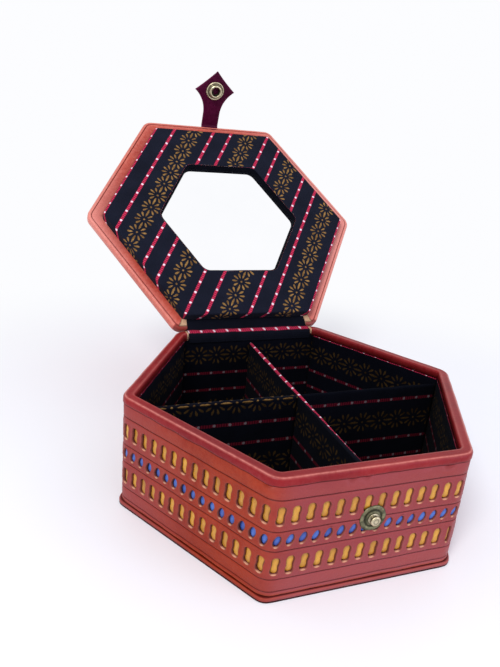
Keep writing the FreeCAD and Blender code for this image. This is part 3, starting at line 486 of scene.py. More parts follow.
def mirror_material():
    g = Surface("silvered_glass")
    haze = g.noise(g.place, 30.0, 4.0)
    colour = g.mix(g.span(haze, 0.3, 0.8), (0.995, 0.995, 1.0), (0.970, 0.975, 0.985))
    return g.finish(Base_Color=colour, Metallic=1.0, Roughness=g.span(haze, 0.4, 0.8, 0.010, 0.045))


def board_material():
    g = Surface("grey_board")
    pulp = g.noise(g.place, 600.0, 5.0, 0.7)
    return g.finish(Base_Color=g.mix(pulp, (0.20, 0.16, 0.12), (0.36, 0.31, 0.25)), Roughness=0.9,
                    Normal=g.bump(pulp, 0.4, 0.0003))


RED = leather_material("red_leather", (0.330, 0.036, 0.011), (0.215, 0.017, 0.006), (0.410, 0.078, 0.036),
                       painted_sheen=(0.255, 0.046, 0.054))
RIM = leather_material("rim_leather", (0.270, 0.013, 0.015), (0.170, 0.006, 0.009), (0.720, 0.260, 0.220),
                       0.34, 0.5, coat=0.05, gloss=0.12, mottle=0.04)
LID_RED = leather_material("lid_leather", (0.520, 0.070, 0.040), (0.370, 0.036, 0.024), (0.720, 0.260, 0.200),
                           0.32, coat=0.08, gloss=0.20, painted_sheen=(0.700, 0.260, 0.225), sheen_span=(0.020, 0.085))
WINE = leather_material("strap_leather", (0.052, 0.0012, 0.017), (0.030, 0.001, 0.010), (0.170, 0.010, 0.065),
                        0.34, 0.8, gloss=0.06, mottle=0.20)
MAROON = leather_material("base_leather", (0.040, 0.005, 0.007), (0.022, 0.003, 0.004), (0.100, 0.022, 0.022),
                          0.60, coat=0.0, gloss=0.08)
DARK = leather_material("dark_leather", (0.050, 0.014, 0.014), (0.028, 0.008, 0.009), (0.120, 0.040, 0.038),
                        0.55)
RAW = raw_edge_material("cut_leather", (0.62, 0.40, 0.24), (0.34, 0.17, 0.09))
# The slot edge's third colour is painted light on the lower lips of the slots; its darkening further in is
# painted shade.
SLOT_EDGE = raw_edge_material("slot_edge", (0.22, 0.035, 0.022), (0.085, 0.012, 0.010), (0.62, 0.30, 0.19))
YELLOW = lace_material("yellow_lace", (0.560, 0.250, 0.014), (0.330, 0.125, 0.007), (0.800, 0.420, 0.040))
BLUE = lace_material("blue_lace", (0.030, 0.080, 0.390), (0.012, 0.030, 0.180), (0.090, 0.240, 0.740))
# The darker copies of the print are painted shade: the shaded one on the cloth inside the case and on the walls
# of the mirror's window, the half-shaded one, lighter, on the lit top edges of the cloth-covered cards and over
# the hinge.
PRINT = print_material("printed_cotton", 0.75, 1.0, 0.06)
PRINT_SHADED = print_material("printed_cotton_painted_shade", 0.22, 0.14, 0.02)
PRINT_HALF_SHADED = print_material("printed_cotton_half_shaded", 0.35, 0.85, 0.04)
BRASS = metal_material("aged_brass", (0.260, 0.245, 0.140), (0.070, 0.075, 0.045), 0.38, 1.0)
PALE_BRASS = metal_material("pale_brass", (0.720, 0.640, 0.440), (0.300, 0.260, 0.150), 0.24, 0.7)
MIRROR = mirror_material()
BOARD = board_material()


# ---------------------------------------------------------------- wall leather and laces

COLUMNS = 672            # columns of the skin around the case, a whole number for each slot
SIDE = hex_side(APOTHEM, CORNER_ROUND)
COLUMN = 6 * SIDE / COLUMNS


class Row:
    """One row of slots: its height, the slots on a wall and the size and shape of a slot."""

    def __init__(self, name, count, width, height, half_cell, steps, lean, pinch, slant):
        low, high = box_mm("lace_" + name)
        self.name = name
        self.middle = (low[2] + high[2]) / 2
        self.half_width = width / 2
        self.half_height = height / 2
        self.half_cell = half_cell          # half the height of the band that the slots take up
        self.steps = steps                  # points up each side of a slot's cell
        self.lean, self.pinch, self.slant = lean, pinch, slant
        self.cells = 6 * count
        self.span = COLUMNS // self.cells
        self.pitch = SIDE / count


ROWS = [
    Row("lower_yellow", 14, 4.7, 9.5, 6.0, 12, 0.16, 0.24, 0.01),
    Row("middle_blue", 16, 3.6, 6.3, 3.8, 8, 0.10, -0.12, 0.15),
    Row("upper_yellow", 14, 4.7, 9.5, 6.0, 12, 0.16, 0.24, 0.01),
]
CREASES = [5.2, 12.0, 27.3, 37.6, 53.6]      # tooled lines between the rows
RIM_BAND = 60.8                              # lower edge of the rolled rim
OUTER_LAYER = 0.9        # how deep the leather's outer layers go, which swell as it is worked

# Height, depth and shade across the wall leather's foot and across one tooled line.  On the foot the shade
# paints a highlight on the rounded roll and painted shade under it; on a tooled line it paints the groove dark,
# partly as the line's own colour and partly as painted shade, with faint painted highlights on its shoulders.
FOOT = ((0.0, 1.3, -0.9), (0.12, 0.75, -0.3), (0.45, 0.22, 0.5), (0.95, -0.02, 0.7), (1.6, -0.02, 0.25))
CREASE = ((-0.9, 0.0, 0.10), (-0.40, 0.10, 0.0), (-0.18, 0.42, -0.9), (0.0, 0.55, -1.0), (0.18, 0.42, -0.9),
          (0.40, 0.10, 0.0), (0.9, 0.0, 0.10))
PLAIN = ((0.0, 0.0, 0.0),)


def skin_point(run, height, depth):
    x, y, _ = hex_point(run, APOTHEM, CORNER_ROUND, depth, SIDE)
    return x, y, height


def slot_outline(row, angle, twist):
    """Place on a slot's edge about its middle: a leaning, slightly waisted oval."""
    c = math.cos(angle)
    s = math.sin(angle)
    power = 0.72 if row.pinch > 0 else 0.95
    up = math.copysign(abs(s) ** power, s)
    side = math.copysign(abs(c) ** power, c)
    waist = 1 - row.pinch * math.exp(-(up / 0.42) ** 2)
    bend = twist * row.lean * math.sin(math.pi * up * 0.9)
    across = row.half_width * side * waist * 0.97 + bend + row.slant * row.half_height * up
    return across, row.half_height * up


def cell_angles(row):
    """Angles about the middle of a cell's edge points, anticlockwise from the lower left."""
    half = row.pitch / 2
    spots = []
    for way in (1, -1):
        spots += [(way * (-half + i * row.pitch / row.span), -way * row.half_cell) for i in range(row.span)]
        spots += [(way * half, way * (-row.half_cell + i * 2 * row.half_cell / row.steps))
                  for i in range(row.steps)]
    return [math.atan2(up / row.half_height, across / row.half_width) for across, up in spots]


def leather_point(run, height, depth):
    """A place in the hand-stretched wall leather, whose outer layers swell outwards."""
    if depth < OUTER_LAYER:
        depth -= 0.10 + wave(run, height, 11.0, 0.22) + wave(run + 90, height, 3.2, 0.07)
    return skin_point(run, height, depth)


def build_wall():
    skin = Builder()
    tongues = {row.name: Builder() for row in ROWS}
    runs = [i * COLUMN for i in range(COLUMNS)]
    hinge_columns = round(HINGE_HALF / COLUMN)
    cut = set(range(hinge_columns)) | set(range(COLUMNS - hinge_columns, COLUMNS))

    def ring(height, depth, shade=0.0, ragged=0.0):
        ids = []
        for run in runs:
            up = height + (wave(run, 5.0, 6.0, ragged) if ragged else 0.0)
            ids.append(skin.point(leather_point(run, up, depth), shade=shade))
        return ids

    def plain_rows(low, high):
        """Height, depth and shade of each ring across a band between two rows of slots."""
        marks = [(low, PLAIN if low > WALL_FOOT else FOOT)]
        marks += [(crease, CREASE) for crease in CREASES if low < crease < high] + [(high, PLAIN)]
        return [(mark + step, depth, shade) for mark, section in marks for step, depth, shade in section]

    def climb(rows):
        """Skin over some rings, up from the last one."""
        nonlocal last
        for row in rows:
            current = ring(*row)
            skin.strip(last, current, closed=True)
            last = current

    def quads(lower, upper, columns, slot=0):
        for i in columns:
            j = (i + 1) % COLUMNS
            skin.face((lower[i], lower[j], upper[j], upper[i]), slot)

    floor = WALL_FOOT
    first = last = ring(floor, *FOOT[0][1:])
    for row in ROWS:
        climb(plain_rows(floor, row.middle - row.half_cell)[1:])
        floor = row.middle + row.half_cell
        upper = ring(floor, 0.0)
        row.back = punch(skin, tongues[row.name], row, runs, last, upper)
        last = upper
    climb(plain_rows(floor, RIM_BAND - 0.5)[1:])

    # The rim is left open behind the hinge, from the level of the wall board's top.
    rim = rim_profile()
    full = [last] + [ring(height, inset, shade, ragged) for inset, height, shade, ragged in rim]
    board_level = next(i for i, step in enumerate(rim) if step[1] > BOARD_TOP) + 1
    for level, (lower, upper) in enumerate(zip(full, full[1:]), 1):
        for i in range(COLUMNS):
            if i in cut and level >= board_level:
                continue
            by_cut = hinge_columns <= min(i, COLUMNS - 1 - i) < hinge_columns + 2
            slot = 1 if by_cut and level >= board_level else (3 if level > 1 else 0)
            quads(lower, upper, [i], slot)
    chain = [full[-1], ring(LINING_TOP + 0.2, APOTHEM - BOARD_IN), ring(BOARD_TOP, APOTHEM - BOARD_IN),
             ring(BOARD_TOP, LEATHER)]
    for lower, upper in zip(chain, chain[1:]):
        quads(lower, upper, [i for i in range(COLUMNS) if i not in cut])
    quads(full[board_level - 1], chain[-1], cut, 1)
    for column in (hinge_columns, COLUMNS - hinge_columns):
        section = [r[column] for r in full[board_level - 1:] + chain[1:]]
        skin.face(section if column == hinge_columns else section[::-1], 1)
    last = chain[-1]
    for row in reversed(ROWS):
        lower, upper = row.back
        skin.strip(last, upper, closed=True)
        last = lower
    skin.strips([last, ring(WALL_FOOT, LEATHER), first], closed=True)

    piece = skin.make("wall_skin", [RED, RAW, SLOT_EDGE, RIM])
    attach(piece, "case")
    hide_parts("wall_leather")
    for row in ROWS:
        yellow = "yellow" in row.name
        lace = tongues[row.name].make("lace_loops_" + row.name, [YELLOW if yellow else BLUE])
        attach(lace, "case")


def rim_profile():
    """Rolled rim from the outside over the top and down inside: inset, height, shade, ragged."""
    outer = 2.0
    inner = 1.4
    stand = -0.35            # how far the rim stands proud of the wall
    width = APOTHEM - LINING_IN
    # Shade: the seam under the rim painted dark, partly as the seam's line and partly as painted shade; a thin
    # bright line on the outer roll, partly rubbed wear and partly painted highlight; a painted highlight on the
    # inner roll and painted shade going down the inside.
    steps = [(0.15, RIM_BAND - 0.25, -1.0, 0.6), (0.10, RIM_BAND, -0.8, 0.6),
             (stand, RIM_BAND + 0.35, 0.0, 0.6), (stand, RIM_BAND + 1.2, 0.0, 0.0)]
    for (sine, cosine), shade in zip(quarter(6, 1), (0.0, 0.0, 0.18, 0.70, 0.12, 0.0)):
        steps.append((stand + outer * (1 - cosine), RIM_TOP - outer + outer * sine, shade, 0.0))
    steps += [(2.6, RIM_TOP - 0.06, 0.0, 0.0), (3.6, RIM_TOP - 0.08, 0.0, 0.0)]
    for (sine, cosine), shade in zip(quarter(4), (0.10, 0.25, 0.0, -0.1, -0.3)):
        steps.append((width - inner + inner * sine, RIM_TOP - inner + inner * cosine, shade, 0.0))
    return steps + [(width, LINING_TOP + 0.2, -0.6, 0.0)]


def punch(skin, lace, row, runs, lower, upper):
    """Slots of one row in the skin, with their cut sides, and the lace loops in them.

    Returns the skin's lower and upper row on its hidden side.
    """
    angles = cell_angles(row)
    steps = row.steps

    def edge_column(column, depth):
        heights = [row.middle - row.half_cell + i * 2 * row.half_cell / steps for i in range(1, steps)]
        return [skin.point(leather_point(runs[column], height, depth)) for height in heights]

    back = [[skin.point(skin_point(run, row.middle + side * row.half_cell, LEATHER)) for run in runs]
            for side in (-1, 1)]
    front_edges, back_edges = ([edge_column(cell * row.span, depth) for cell in range(row.cells)]
                               for depth in (0.0, LEATHER))
    for cell in range(row.cells):
        start = cell * row.span
        after = (cell + 1) % row.cells
        end = after * row.span
        middle_run = (start + row.span / 2) * COLUMN
        twist = 1 + dice.uniform(-0.35, 0.35)
        lift = dice.uniform(-0.15, 0.15)
        tall = 1 + dice.uniform(-0.04, 0.04)

        def loop(low_row, high_row, edges):
            """The cell's outer edge, anticlockwise from the lower left."""
            low_part = [low_row[start + i] for i in range(row.span)]
            high_part = [high_row[(start + row.span - i) % COLUMNS] for i in range(row.span)]
            left = [low_part[0]] + edges[cell] + [high_row[start]]
            right = [low_row[end]] + edges[after] + [high_row[end]]
            return low_part + right[:steps] + [right[steps]] + high_part[1:] + left[:0:-1]

        # The lower row's two slots at the front right corner are narrow, and the second has no lace.
        past_corner = (middle_run - 3.5 * SIDE) / row.pitch
        narrow = 1.0
        if row.name == "lower_yellow" and -1 < past_corner < 1:
            narrow = 0.55 if past_corner < 0 else 0.35
        outline = [slot_outline(row, angle, twist) for angle in angles]
        outline = [(across * narrow, up * tall + lift) for across, up in outline]

        def slot_ring(grow, depth, shade=0.0, under=0.0):
            """The slot's outline grown sideways, with painted light on its lower edge by under."""
            ids = []
            for i, (across, up) in enumerate(outline):
                before = outline[i - 1]
                behind = outline[(i + 1) % len(outline)]
                dx = behind[0] - before[0]
                dz = behind[1] - before[1]
                size = math.hypot(dx, dz) or 1.0
                place = leather_point(middle_run + across + grow * dz / size,
                                      row.middle + up - grow * dx / size, depth)
                ids.append(skin.point(place, shade=shade + max(0.0, dx / size) ** 4 * under))
            return ids

        # The lips are painted lighter, most along their lower edges, as painted highlight, and the slot's sides
        # darker further in, as painted shade.
        lip = [loop(lower, upper, front_edges), slot_ring(0.85, 0.02), slot_ring(0.45, -0.14, 0.10),
               slot_ring(0.15, -0.06, 0.20, 0.5)]
        skin.strips(lip, closed=True)
        sides = [lip[-1], slot_ring(-0.02, 0.14, 0.1, 1.0), slot_ring(-0.30, 0.75, -0.3, 0.9),
                 slot_ring(-0.10, LEATHER, -0.8)]
        skin.strips(sides, 2, closed=True)
        skin.strip(sides[-1], loop(*back, back_edges), closed=True)
        if narrow > 0.5:
            lace_loop(lace, row, middle_run, outline)
    return back


def lace_loop(lace, row, middle_run, outline):
    """One loop of lace that swells out through its slot."""
    tone = dice.uniform(-0.25, 0.55)
    rise = 0.85 + dice.uniform(-0.16, 0.18)
    tip = dice.uniform(-0.18, 0.18)
    foot = LEATHER - 0.10
    shape = outline[::2 if len(outline) > 24 else 1]
    rings = []
    for reach in (0.95, 0.90, 0.78, 0.58, 0.32):
        ids = []
        swell = (1 - reach ** 3.2) ** 0.5
        # The shade is the loop's own random tone, with a painted highlight towards the crown and painted shade
        # towards its rim.
        shade = tone * 0.6 + (0.5 * (1 - reach) - 0.5 * max(0.0, reach - 0.75) * 4)
        for across, up in shape:
            slope = tip * up / row.half_height * (1 - reach) - 0.38 * across * reach / row.half_width
            depth = foot - rise * swell + slope
            place = skin_point(middle_run + across * reach, row.middle + up * reach, depth)
            ids.append(lace.point(place, shade=shade))
        rings.append(ids)
    lace.face(rings[0][::-1])
    lace.strips(rings, closed=True)
    crown = lace.point(skin_point(middle_run, row.middle, foot - rise), shade=tone * 0.6 + 0.5)
    lace.fan(crown, rings[-1])


build_wall()


def build_base_edge():
    """Leather turned around the edge of the base, a little wider than the walls.

    The board's edge is covered in the red leather, and the dark sheet under it shows below.
    """
    edge = Builder()
    top, wide = box_mm("base_board")[1][2], box_mm("base_board")[1][1]
    rounding = 6.5
    # Reach beyond the board, height and shade.  The shade paints a highlight along the lip's top edge, and
    # painted shade in the seam below it, in the crease against the wall and under the base.
    dark = [(-2.5, 0.02, -0.8), (-0.5, 0.02, -0.6), (0.06, 0.22, -0.4), (0.18, 0.55, -0.1),
            (0.16, 0.78, -0.6)]
    red = [(0.03, 0.92, -1.0), (0.18, 1.10, -0.1), (0.22, 1.6, 0.0), (0.21, 2.1, 0.15), (0.14, top, 0.45),
           (0.00, top + 0.14, 0.35), (-0.3, top + 0.15, -0.3), (-0.7, top + 0.10, -0.9),
           (-3.0, top + 0.02, -1.0)]
    rings = []
    for beyond, height, shade in dark + red:
        ids = []
        for _, x, y, heading in around(wide + beyond, rounding, 6 * 60):
            out = wave(x, y + height * 4, 8.0, 0.12)
            place = (x + out * math.cos(heading), y + out * math.sin(heading), height)
            ids.append(edge.point(place, shade=shade))
        rings.append(ids)
    edge.strips(rings[:len(dark) + 1], 1, closed=True)
    edge.strips(rings[len(dark):] + rings[:1], closed=True)
    piece = edge.make("base_edge", [RED, MAROON])
    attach(piece, "case")


build_base_edge()


# ---------------------------------------------------------------- lid frame

ALONG = (0.0, -math.cos(math.radians(LID_OPEN)), math.sin(math.radians(LID_OPEN)))
OUT = (0.0, math.sin(math.radians(LID_OPEN)), math.cos(math.radians(LID_OPEN)))


def reach(node, direction, origin):
    """Lowest and highest extent of a CAD node along a direction from origin, in millimetres."""
    marks = [sum((v.co[i] / MM - origin[i]) * direction[i] for i in range(3))
             for v in frame["nodes"][node].data.vertices]
    return min(marks), max(marks)


def lid_point(x, along, depth):
    """Place on the lid: x across, along it from the hinge, depth towards its outside."""
    return (x, *(HINGE[i] + along * ALONG[i] + depth * OUT[i] for i in (1, 2)))


lid_span = reach("lid_leather", ALONG, HINGE)
LID_CENTRE = (lid_span[0] + lid_span[1]) / 2
LID_APOTHEM = (lid_span[1] - lid_span[0]) / 2
LID_THICK = reach("lid_leather", OUT, HINGE)[1]
LID_ROUND = corner_round(LID_APOTHEM, "lid_leather")
panel_span = reach("panel_cloth", ALONG, HINGE)
PANEL_CENTRE = (panel_span[0] + panel_span[1]) / 2
PANEL_APOTHEM = (panel_span[1] - panel_span[0]) / 2
PANEL_FACE = reach("panel_cloth", OUT, HINGE)[0]
PANEL_ROUND = corner_round(PANEL_APOTHEM, "panel_cloth")
mirror_span = reach("mirror", ALONG, HINGE)
MIRROR_LIP = 3.0
MIRROR_SUNK = 4.0          # from the face of the cloth down to the face of the mirror
WINDOW_APOTHEM = (mirror_span[1] - mirror_span[0]) / 2 - MIRROR_LIP
WINDOW_ROUND = 7.0
MIRROR_FACE = reach("mirror", OUT, HINGE)[0]

LID_COLUMNS = 576
LID_SIDE = hex_side(LID_APOTHEM, LID_ROUND)
LID_COLUMN = 6 * LID_SIDE / LID_COLUMNS


def build_lid_skin():
    """Lid leather: plain tooled outside, rolled edge and banded border around the panel."""
    skin = Builder()
    edge = 2.6               # radius of the rolled edge towards the outside
    fold = 1.9               # and towards the inside
    border = 13.5            # inset of the border's inner edge, under the panel
    outside = LID_THICK
    hinge_run = 3 * LID_SIDE
    profile = []             # inset, depth, shade, unevenness

    def add(inset, depth, shade=0.0, rough=0.12):
        profile.append((inset, depth, shade, rough))

    def mitre(inset):
        """How far from the hinge's middle the border's cut corners run at this inset."""
        return LID_SIDE / 2 - 1.0 - 0.45 * max(0.0, inset - 3.0)

    for inset in (LID_APOTHEM - 2, LID_APOTHEM - 5, LID_APOTHEM - 10, 73.0, 66.0, 60.0, 54.0, 49.0, 44.0,
                  40.0, 36.0, 32.0, 28.0, 24.0, 21.0, 18.0):
        add(inset, outside - 0.25, 0.0, 0.30)
    # Two tooled lines on the outside: their grooves painted dark, partly as painted shade, with faint painted
    # highlights beside them.
    for middle in (14.0, 9.5):
        for step, depth, shade in ((0.8, -0.25, 0.0), (0.35, -0.30, 0.1), (0.12, -0.75, -0.9),
                                   (-0.12, -0.75, -0.9), (-0.35, -0.30, 0.1), (-0.8, -0.20, 0.0)):
            add(middle + step, outside + depth, shade, 0.15)
    cut_from = len(profile) + 2         # rows from here on are cut away along the hinge
    # The rolled edge is painted lighter towards the inside, as painted highlight.
    for i, (sine, cosine) in enumerate(quarter(6)):
        add(edge - edge * sine, outside - 0.15 - (edge - edge * cosine), 0.12 + 0.05 * i, 0.10)
    for i, (sine, cosine) in enumerate(quarter(5, 1), 1):
        add(fold - fold * cosine, 1.75 - fold * sine, 0.45 + 0.04 * i, 0.10)
    inside = len(profile)               # rows from here on are the border that shows inside
    # The border that shows inside: painted highlights on its rolls, a dark tooled groove, and painted shadow of
    # the raised panel along its inner edge.
    add(2.15, -0.10, 0.50)
    for inset, depth, shade in ((2.35, 0.05, -0.4), (2.50, 0.40, -1.0), (2.72, 0.40, -1.0),
                                (2.90, 0.0, -0.3), (3.2, -0.04, 0.30), (4.0, -0.12, 0.22),
                                (5.2, -0.15, 0.05), (6.6, -0.14, 0.0), (7.8, -0.10, 0.0),
                                (8.8, 0.0, -0.15), (9.6, 0.15, -0.75), (border, 0.20, -0.8)):
        add(inset, depth, shade, 0.07)
    rows = []
    for inset, depth, shade, rough in profile:
        ids = []
        slope = (LID_APOTHEM - inset) / LID_APOTHEM
        for i in range(LID_COLUMNS):
            run = i * LID_COLUMN
            from_hinge = abs(run - hinge_run)
            x, y, _ = hex_point(run, LID_APOTHEM, LID_ROUND, inset, LID_SIDE)
            if depth > 3 and inset > 3:
                swell = wave(x, y, 9.0, rough) + wave(x + 50, y, 2.6, rough * 0.35)
            else:
                swell = (wave(run, inset * 2 + depth, 9.0, rough)
                         + wave(run, inset + 40, 2.6, rough * 0.35))
            # in_mitre is the dark line along the cut corners; tucked paints the rolled edge near the hinge
            # darker, as painted shade.
            in_mitre = depth < 1 and inset > 1.5 and abs(from_hinge - mitre(inset)) < 0.9
            tucked = inset < 3.0 and from_hinge < LID_SIDE / 2 + 2.2 and depth < outside - 1.0
            sunk = depth + (0.45 if in_mitre else 0.0)
            place = lid_point(x, LID_CENTRE + y, sunk + swell * (1 if depth > 3 else -1) * slope)
            ids.append(skin.point(place, shade=-1.0 if in_mitre else (-0.8 if tucked else shade)))
        rows.append(ids)
    hub = skin.point(lid_point(0, LID_CENTRE, outside - 0.25))
    skin.fan(hub, rows[0][::-1])
    gap = [i for i in range(LID_COLUMNS) if abs(i * LID_COLUMN - hinge_run) < HINGE_HALF + 0.4]
    gap_faces = set(gap[:-1])
    for level, (first, second) in enumerate(zip(rows, rows[1:])):
        for i in range(LID_COLUMNS):
            if level >= cut_from and i in gap_faces:
                continue
            j = (i + 1) % LID_COLUMNS
            from_hinge = abs((i + 0.5) * LID_COLUMN - hinge_run)
            bare = level >= inside and from_hinge < mitre(profile[level][0])
            skin.face((first[j], first[i], second[i], second[j]), 1 if bare else 0)
    # Cut ends of the border at the hinge, filled down to the outside leather.
    for column, order in ((gap[0], 1), (gap[-1], -1)):
        section = [row[column] for row in rows[cut_from:]]
        for inset in (border, 2.5):
            x, y, _ = hex_point(column * LID_COLUMN, LID_APOTHEM, LID_ROUND, inset, LID_SIDE)
            section.append(skin.point(lid_point(x, LID_CENTRE + y, outside - 1.8)))
        skin.face(section[::order], 1)
    piece = skin.make("lid_skin", [LID_RED, RAW])
    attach(piece, "lid")
    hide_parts("lid_leather")


def print_place(x, along):
    """Place in the block print, whose stripes run 60 degrees to the hinge on the lid."""
    y = along - PANEL_CENTRE
    return (x * COS30 - y * 0.5, x * 0.5 + y * COS30, 0.0)


PLAIN_PART = STRIPE_APART / 2          # between two stripes, where the cloth is plain


def build_panel():
    """Printed cloth stretched over the felt frame, with soft edges around the mirror."""
    cloth = Builder()
    top = PANEL_FACE
    edge = 1.1               # radius of the soft edges
    face_steps = 16
    # Apothem, rounding, depth, and how far the cloth runs past the face: in the window it's below 0.
    steps = [(PANEL_APOTHEM, PANEL_ROUND, depth, depth - top) for depth in (0.0, -1.2, -2.6, -4.0, top + edge)]
    for i, (sine, cosine) in enumerate(quarter(5, 1), 1):
        steps.append((PANEL_APOTHEM - edge * (1 - cosine), PANEL_ROUND, top + edge * (1 - sine),
                      edge * (1 - i / 5)))
    flat = PANEL_APOTHEM - edge - (WINDOW_APOTHEM + edge)
    for i in range(1, face_steps):
        t = i / face_steps
        swell = 0.16 * math.sin(math.pi * t) - 0.10
        steps.append((PANEL_APOTHEM - edge - flat * t, PANEL_ROUND + (WINDOW_ROUND - PANEL_ROUND) * t,
                      top - swell, 0.0))
    for i, (sine, cosine) in enumerate(quarter(5)):
        steps.append((WINDOW_APOTHEM + edge * (1 - sine), WINDOW_ROUND, top + edge * (1 - cosine),
                      -edge * i / 5))
    for depth in (-4.2, -3.0, -1.9, MIRROR_FACE):
        steps.append((WINDOW_APOTHEM, WINDOW_ROUND, depth, -(depth - top)))
    previous = None
    for apothem, rounding, depth, beyond in steps:
        ids = []
        for run, x, y, heading in around(apothem, rounding, 6 * 56):
            ripple = wave(x, y, 14.0, 0.14) + wave(run, depth * 3, 3.5, 0.04)
            spread_x = x + beyond * math.cos(heading)
            spread_y = y + beyond * math.sin(heading)
            print_at = print_place(spread_x, PANEL_CENTRE + spread_y)
            # The walls of the mirror's window show plain cloth, and take the shaded print as painted shade.
            if beyond < 0:
                print_at = (PLAIN_PART, spread_y, 0.0)
            place = lid_point(x + ripple * math.cos(heading) * 0.5,
                              PANEL_CENTRE + y + ripple * math.sin(heading) * 0.5,
                              depth + (ripple if depth < top + 2 else 0))
            ids.append(cloth.point(place, print_at))
        if previous:
            cloth.strip(ids, previous, 1 if beyond < -0.4 else 0, closed=True)
        previous = ids
    piece = cloth.make("panel_cover", [PRINT, PRINT_SHADED])
    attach(piece, "lid")
    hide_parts("panel_cloth")


def build_mirror():
    """Thick mirror glass whose ground step brings its face up into the felt window."""
    glass = Builder()
    low, high = reach("mirror", OUT, HINGE)
    full = (mirror_span[1] - mirror_span[0]) / 2
    window = WINDOW_APOTHEM + 0.25
    face = PANEL_FACE + MIRROR_SUNK
    foot_round = WINDOW_ROUND + 3
    rings = []
    for apothem, rounding, depth in ((full - 0.4, WINDOW_ROUND + 2.6, high), (full, foot_round, high - 0.3),
                                     (full, foot_round, low + 0.02), (window, WINDOW_ROUND, low + 0.02),
                                     (window, WINDOW_ROUND, face + 0.35), (window - 0.35, WINDOW_ROUND, face)):
        rings.append([glass.point(lid_point(x, PANEL_CENTRE + y, depth))
                      for _, x, y, _ in around(apothem, rounding, 6 * 40)])
    glass.face(rings[0][::-1])
    glass.strips(rings, closed=True)
    glass.face(rings[-1])
    piece = glass.make("mirror_plate", [MIRROR], smooth=False)
    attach(piece, "lid")
    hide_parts("mirror")


build_lid_skin()
build_panel()
build_mirror()


# ---------------------------------------------------------------- linings, dividers and floor

PRINT_TOP = -1.2          # where the first stripe sits against the top of each lining


def cloth_plate(name, node, frame_of, half_width, low, high, print_of, thick, ends=0.0, lit_top=False):
    """Cloth-covered card: a closed plate with a rounded top edge and slightly uneven faces.

    frame_of turns (along, height, depth) into a place; depth 0 is the face that shows.
    print_of turns (along, run over the top edge) into a place in the block print.
    """
    plate = Builder()
    round_top = thick / 2
    shoulder = high - round_top
    columns = max(8, int(2 * half_width / 2.2))
    rows = int((high - low) / 3.0)
    heights = [low + (shoulder - low) * i / rows for i in range(rows + 1)]
    loop = [(height, 0.0, shoulder - height) for height in heights]         # height, depth, run over the top
    for i in range(1, 8):
        angle = math.radians(22.5 * i)
        loop.append((shoulder + round_top * math.sin(angle), round_top - round_top * math.cos(angle),
                     -round_top * angle))
    for i in range(rows + 1):
        height = shoulder - (shoulder - low) * i / rows
        loop.append((height, thick, -(shoulder - height) - round_top * math.pi))
    table = []
    for height, depth, over in loop:
        ids = []
        for i in range(columns + 1):
            t = -1 + 2 * i / columns
            along = t * (half_width + ends * depth)
            bulge = wave(along + low, height, 9.0, 0.14) + wave(along, height + 70, 2.8, 0.05)
            sag = wave(along, 2.0, 16.0, 0.35) * max(0.0, (height - low) / (high - low)) ** 4
            out = depth + (bulge if depth < round_top else -bulge)
            ids.append(plate.point(frame_of(along, height + sag, out), print_of(along, over)))
        table.append(ids)
    # The rounded top edge can take the half-shaded print, as painted light on the top; the rest takes the shaded
    # print.
    for level, (first, second) in enumerate(zip(table, table[1:])):
        plate.strip(first, second, 1 if rows <= level < rows + 8 else 0)
    plate.strip(table[-1], table[0])
    plate.face([row[0] for row in table])
    plate.face([row[-1] for row in table][::-1])
    piece = plate.make(name, [PRINT_SHADED, PRINT_HALF_SHADED if lit_top else PRINT_SHADED])
    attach(piece, "case")
    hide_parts(node)
    return piece


def wall_frame(index):
    """Turns (along, height, depth) into a place on the inside of wall number index."""
    normal = math.radians(90 + 60 * index)

    def place(along, height, depth):
        out = LINING_IN + depth
        return (out * math.cos(normal) + along * math.sin(normal),
                out * math.sin(normal) - along * math.cos(normal), height)
    return place


WALLS = {0: "back", 1: "back_left", 2: "front_left", 3: "front", 4: "front_right", 5: "back_right"}


def build_linings():
    foot = box_mm("lining_front")[0][2]
    half = LINING_IN * TAN30 - 0.05
    for index, side in WALLS.items():
        node = "lining_" + side
        top = min(box_mm(node)[1][2], BOARD_TOP - 1.5)

        def print_of(along, over, shift=index * 17.3):
            return (-over + PRINT_TOP, along + shift, 0.0)

        piece = cloth_plate("cover_" + node, node, wall_frame(index), half, foot, top, print_of,
                            BOARD_IN - LINING_IN, TAN30, lit_top=True)


def build_dividers():
    low, high = box_mm("divider_long")
    thick = high[0] - low[0]
    long_half = (high[1] - low[1]) / 2

    def long_place(along, height, depth):
        return (-thick / 2 + depth, -along, height)

    def long_print(along, over):
        """The cloth lies a little askew, so its stripe leaves the top edge towards the front."""
        drift = 0.5 - 1.9 * min(1.0, max(0.0, (along + 18) / (long_half + 4)))
        return (-over - thick * math.pi / 4 + drift, along, 0.0)

    piece = cloth_plate("cover_divider_long", "divider_long", long_place, long_half, low[2], high[2],
                        long_print, thick, lit_top=True)

    low, high = box_mm("divider_cross")
    gap = DIVIDER_HALF + 0.02
    half = (high[0] - gap) / 2
    for name, side, offset in (("left", -1, 13.7), ("right", 1, 6.6)):
        def cross_place(along, height, depth, middle=side * (gap + half)):
            return (middle + along, -thick / 2 + depth, height)

        def cross_print(along, over, offset=side * offset):
            return (offset - over, along + 3.0, 0.0)

        piece = cloth_plate("cover_divider_" + name, "divider_cross", cross_place, half, low[2], high[2],
                            cross_print, thick, lit_top=side < 0)


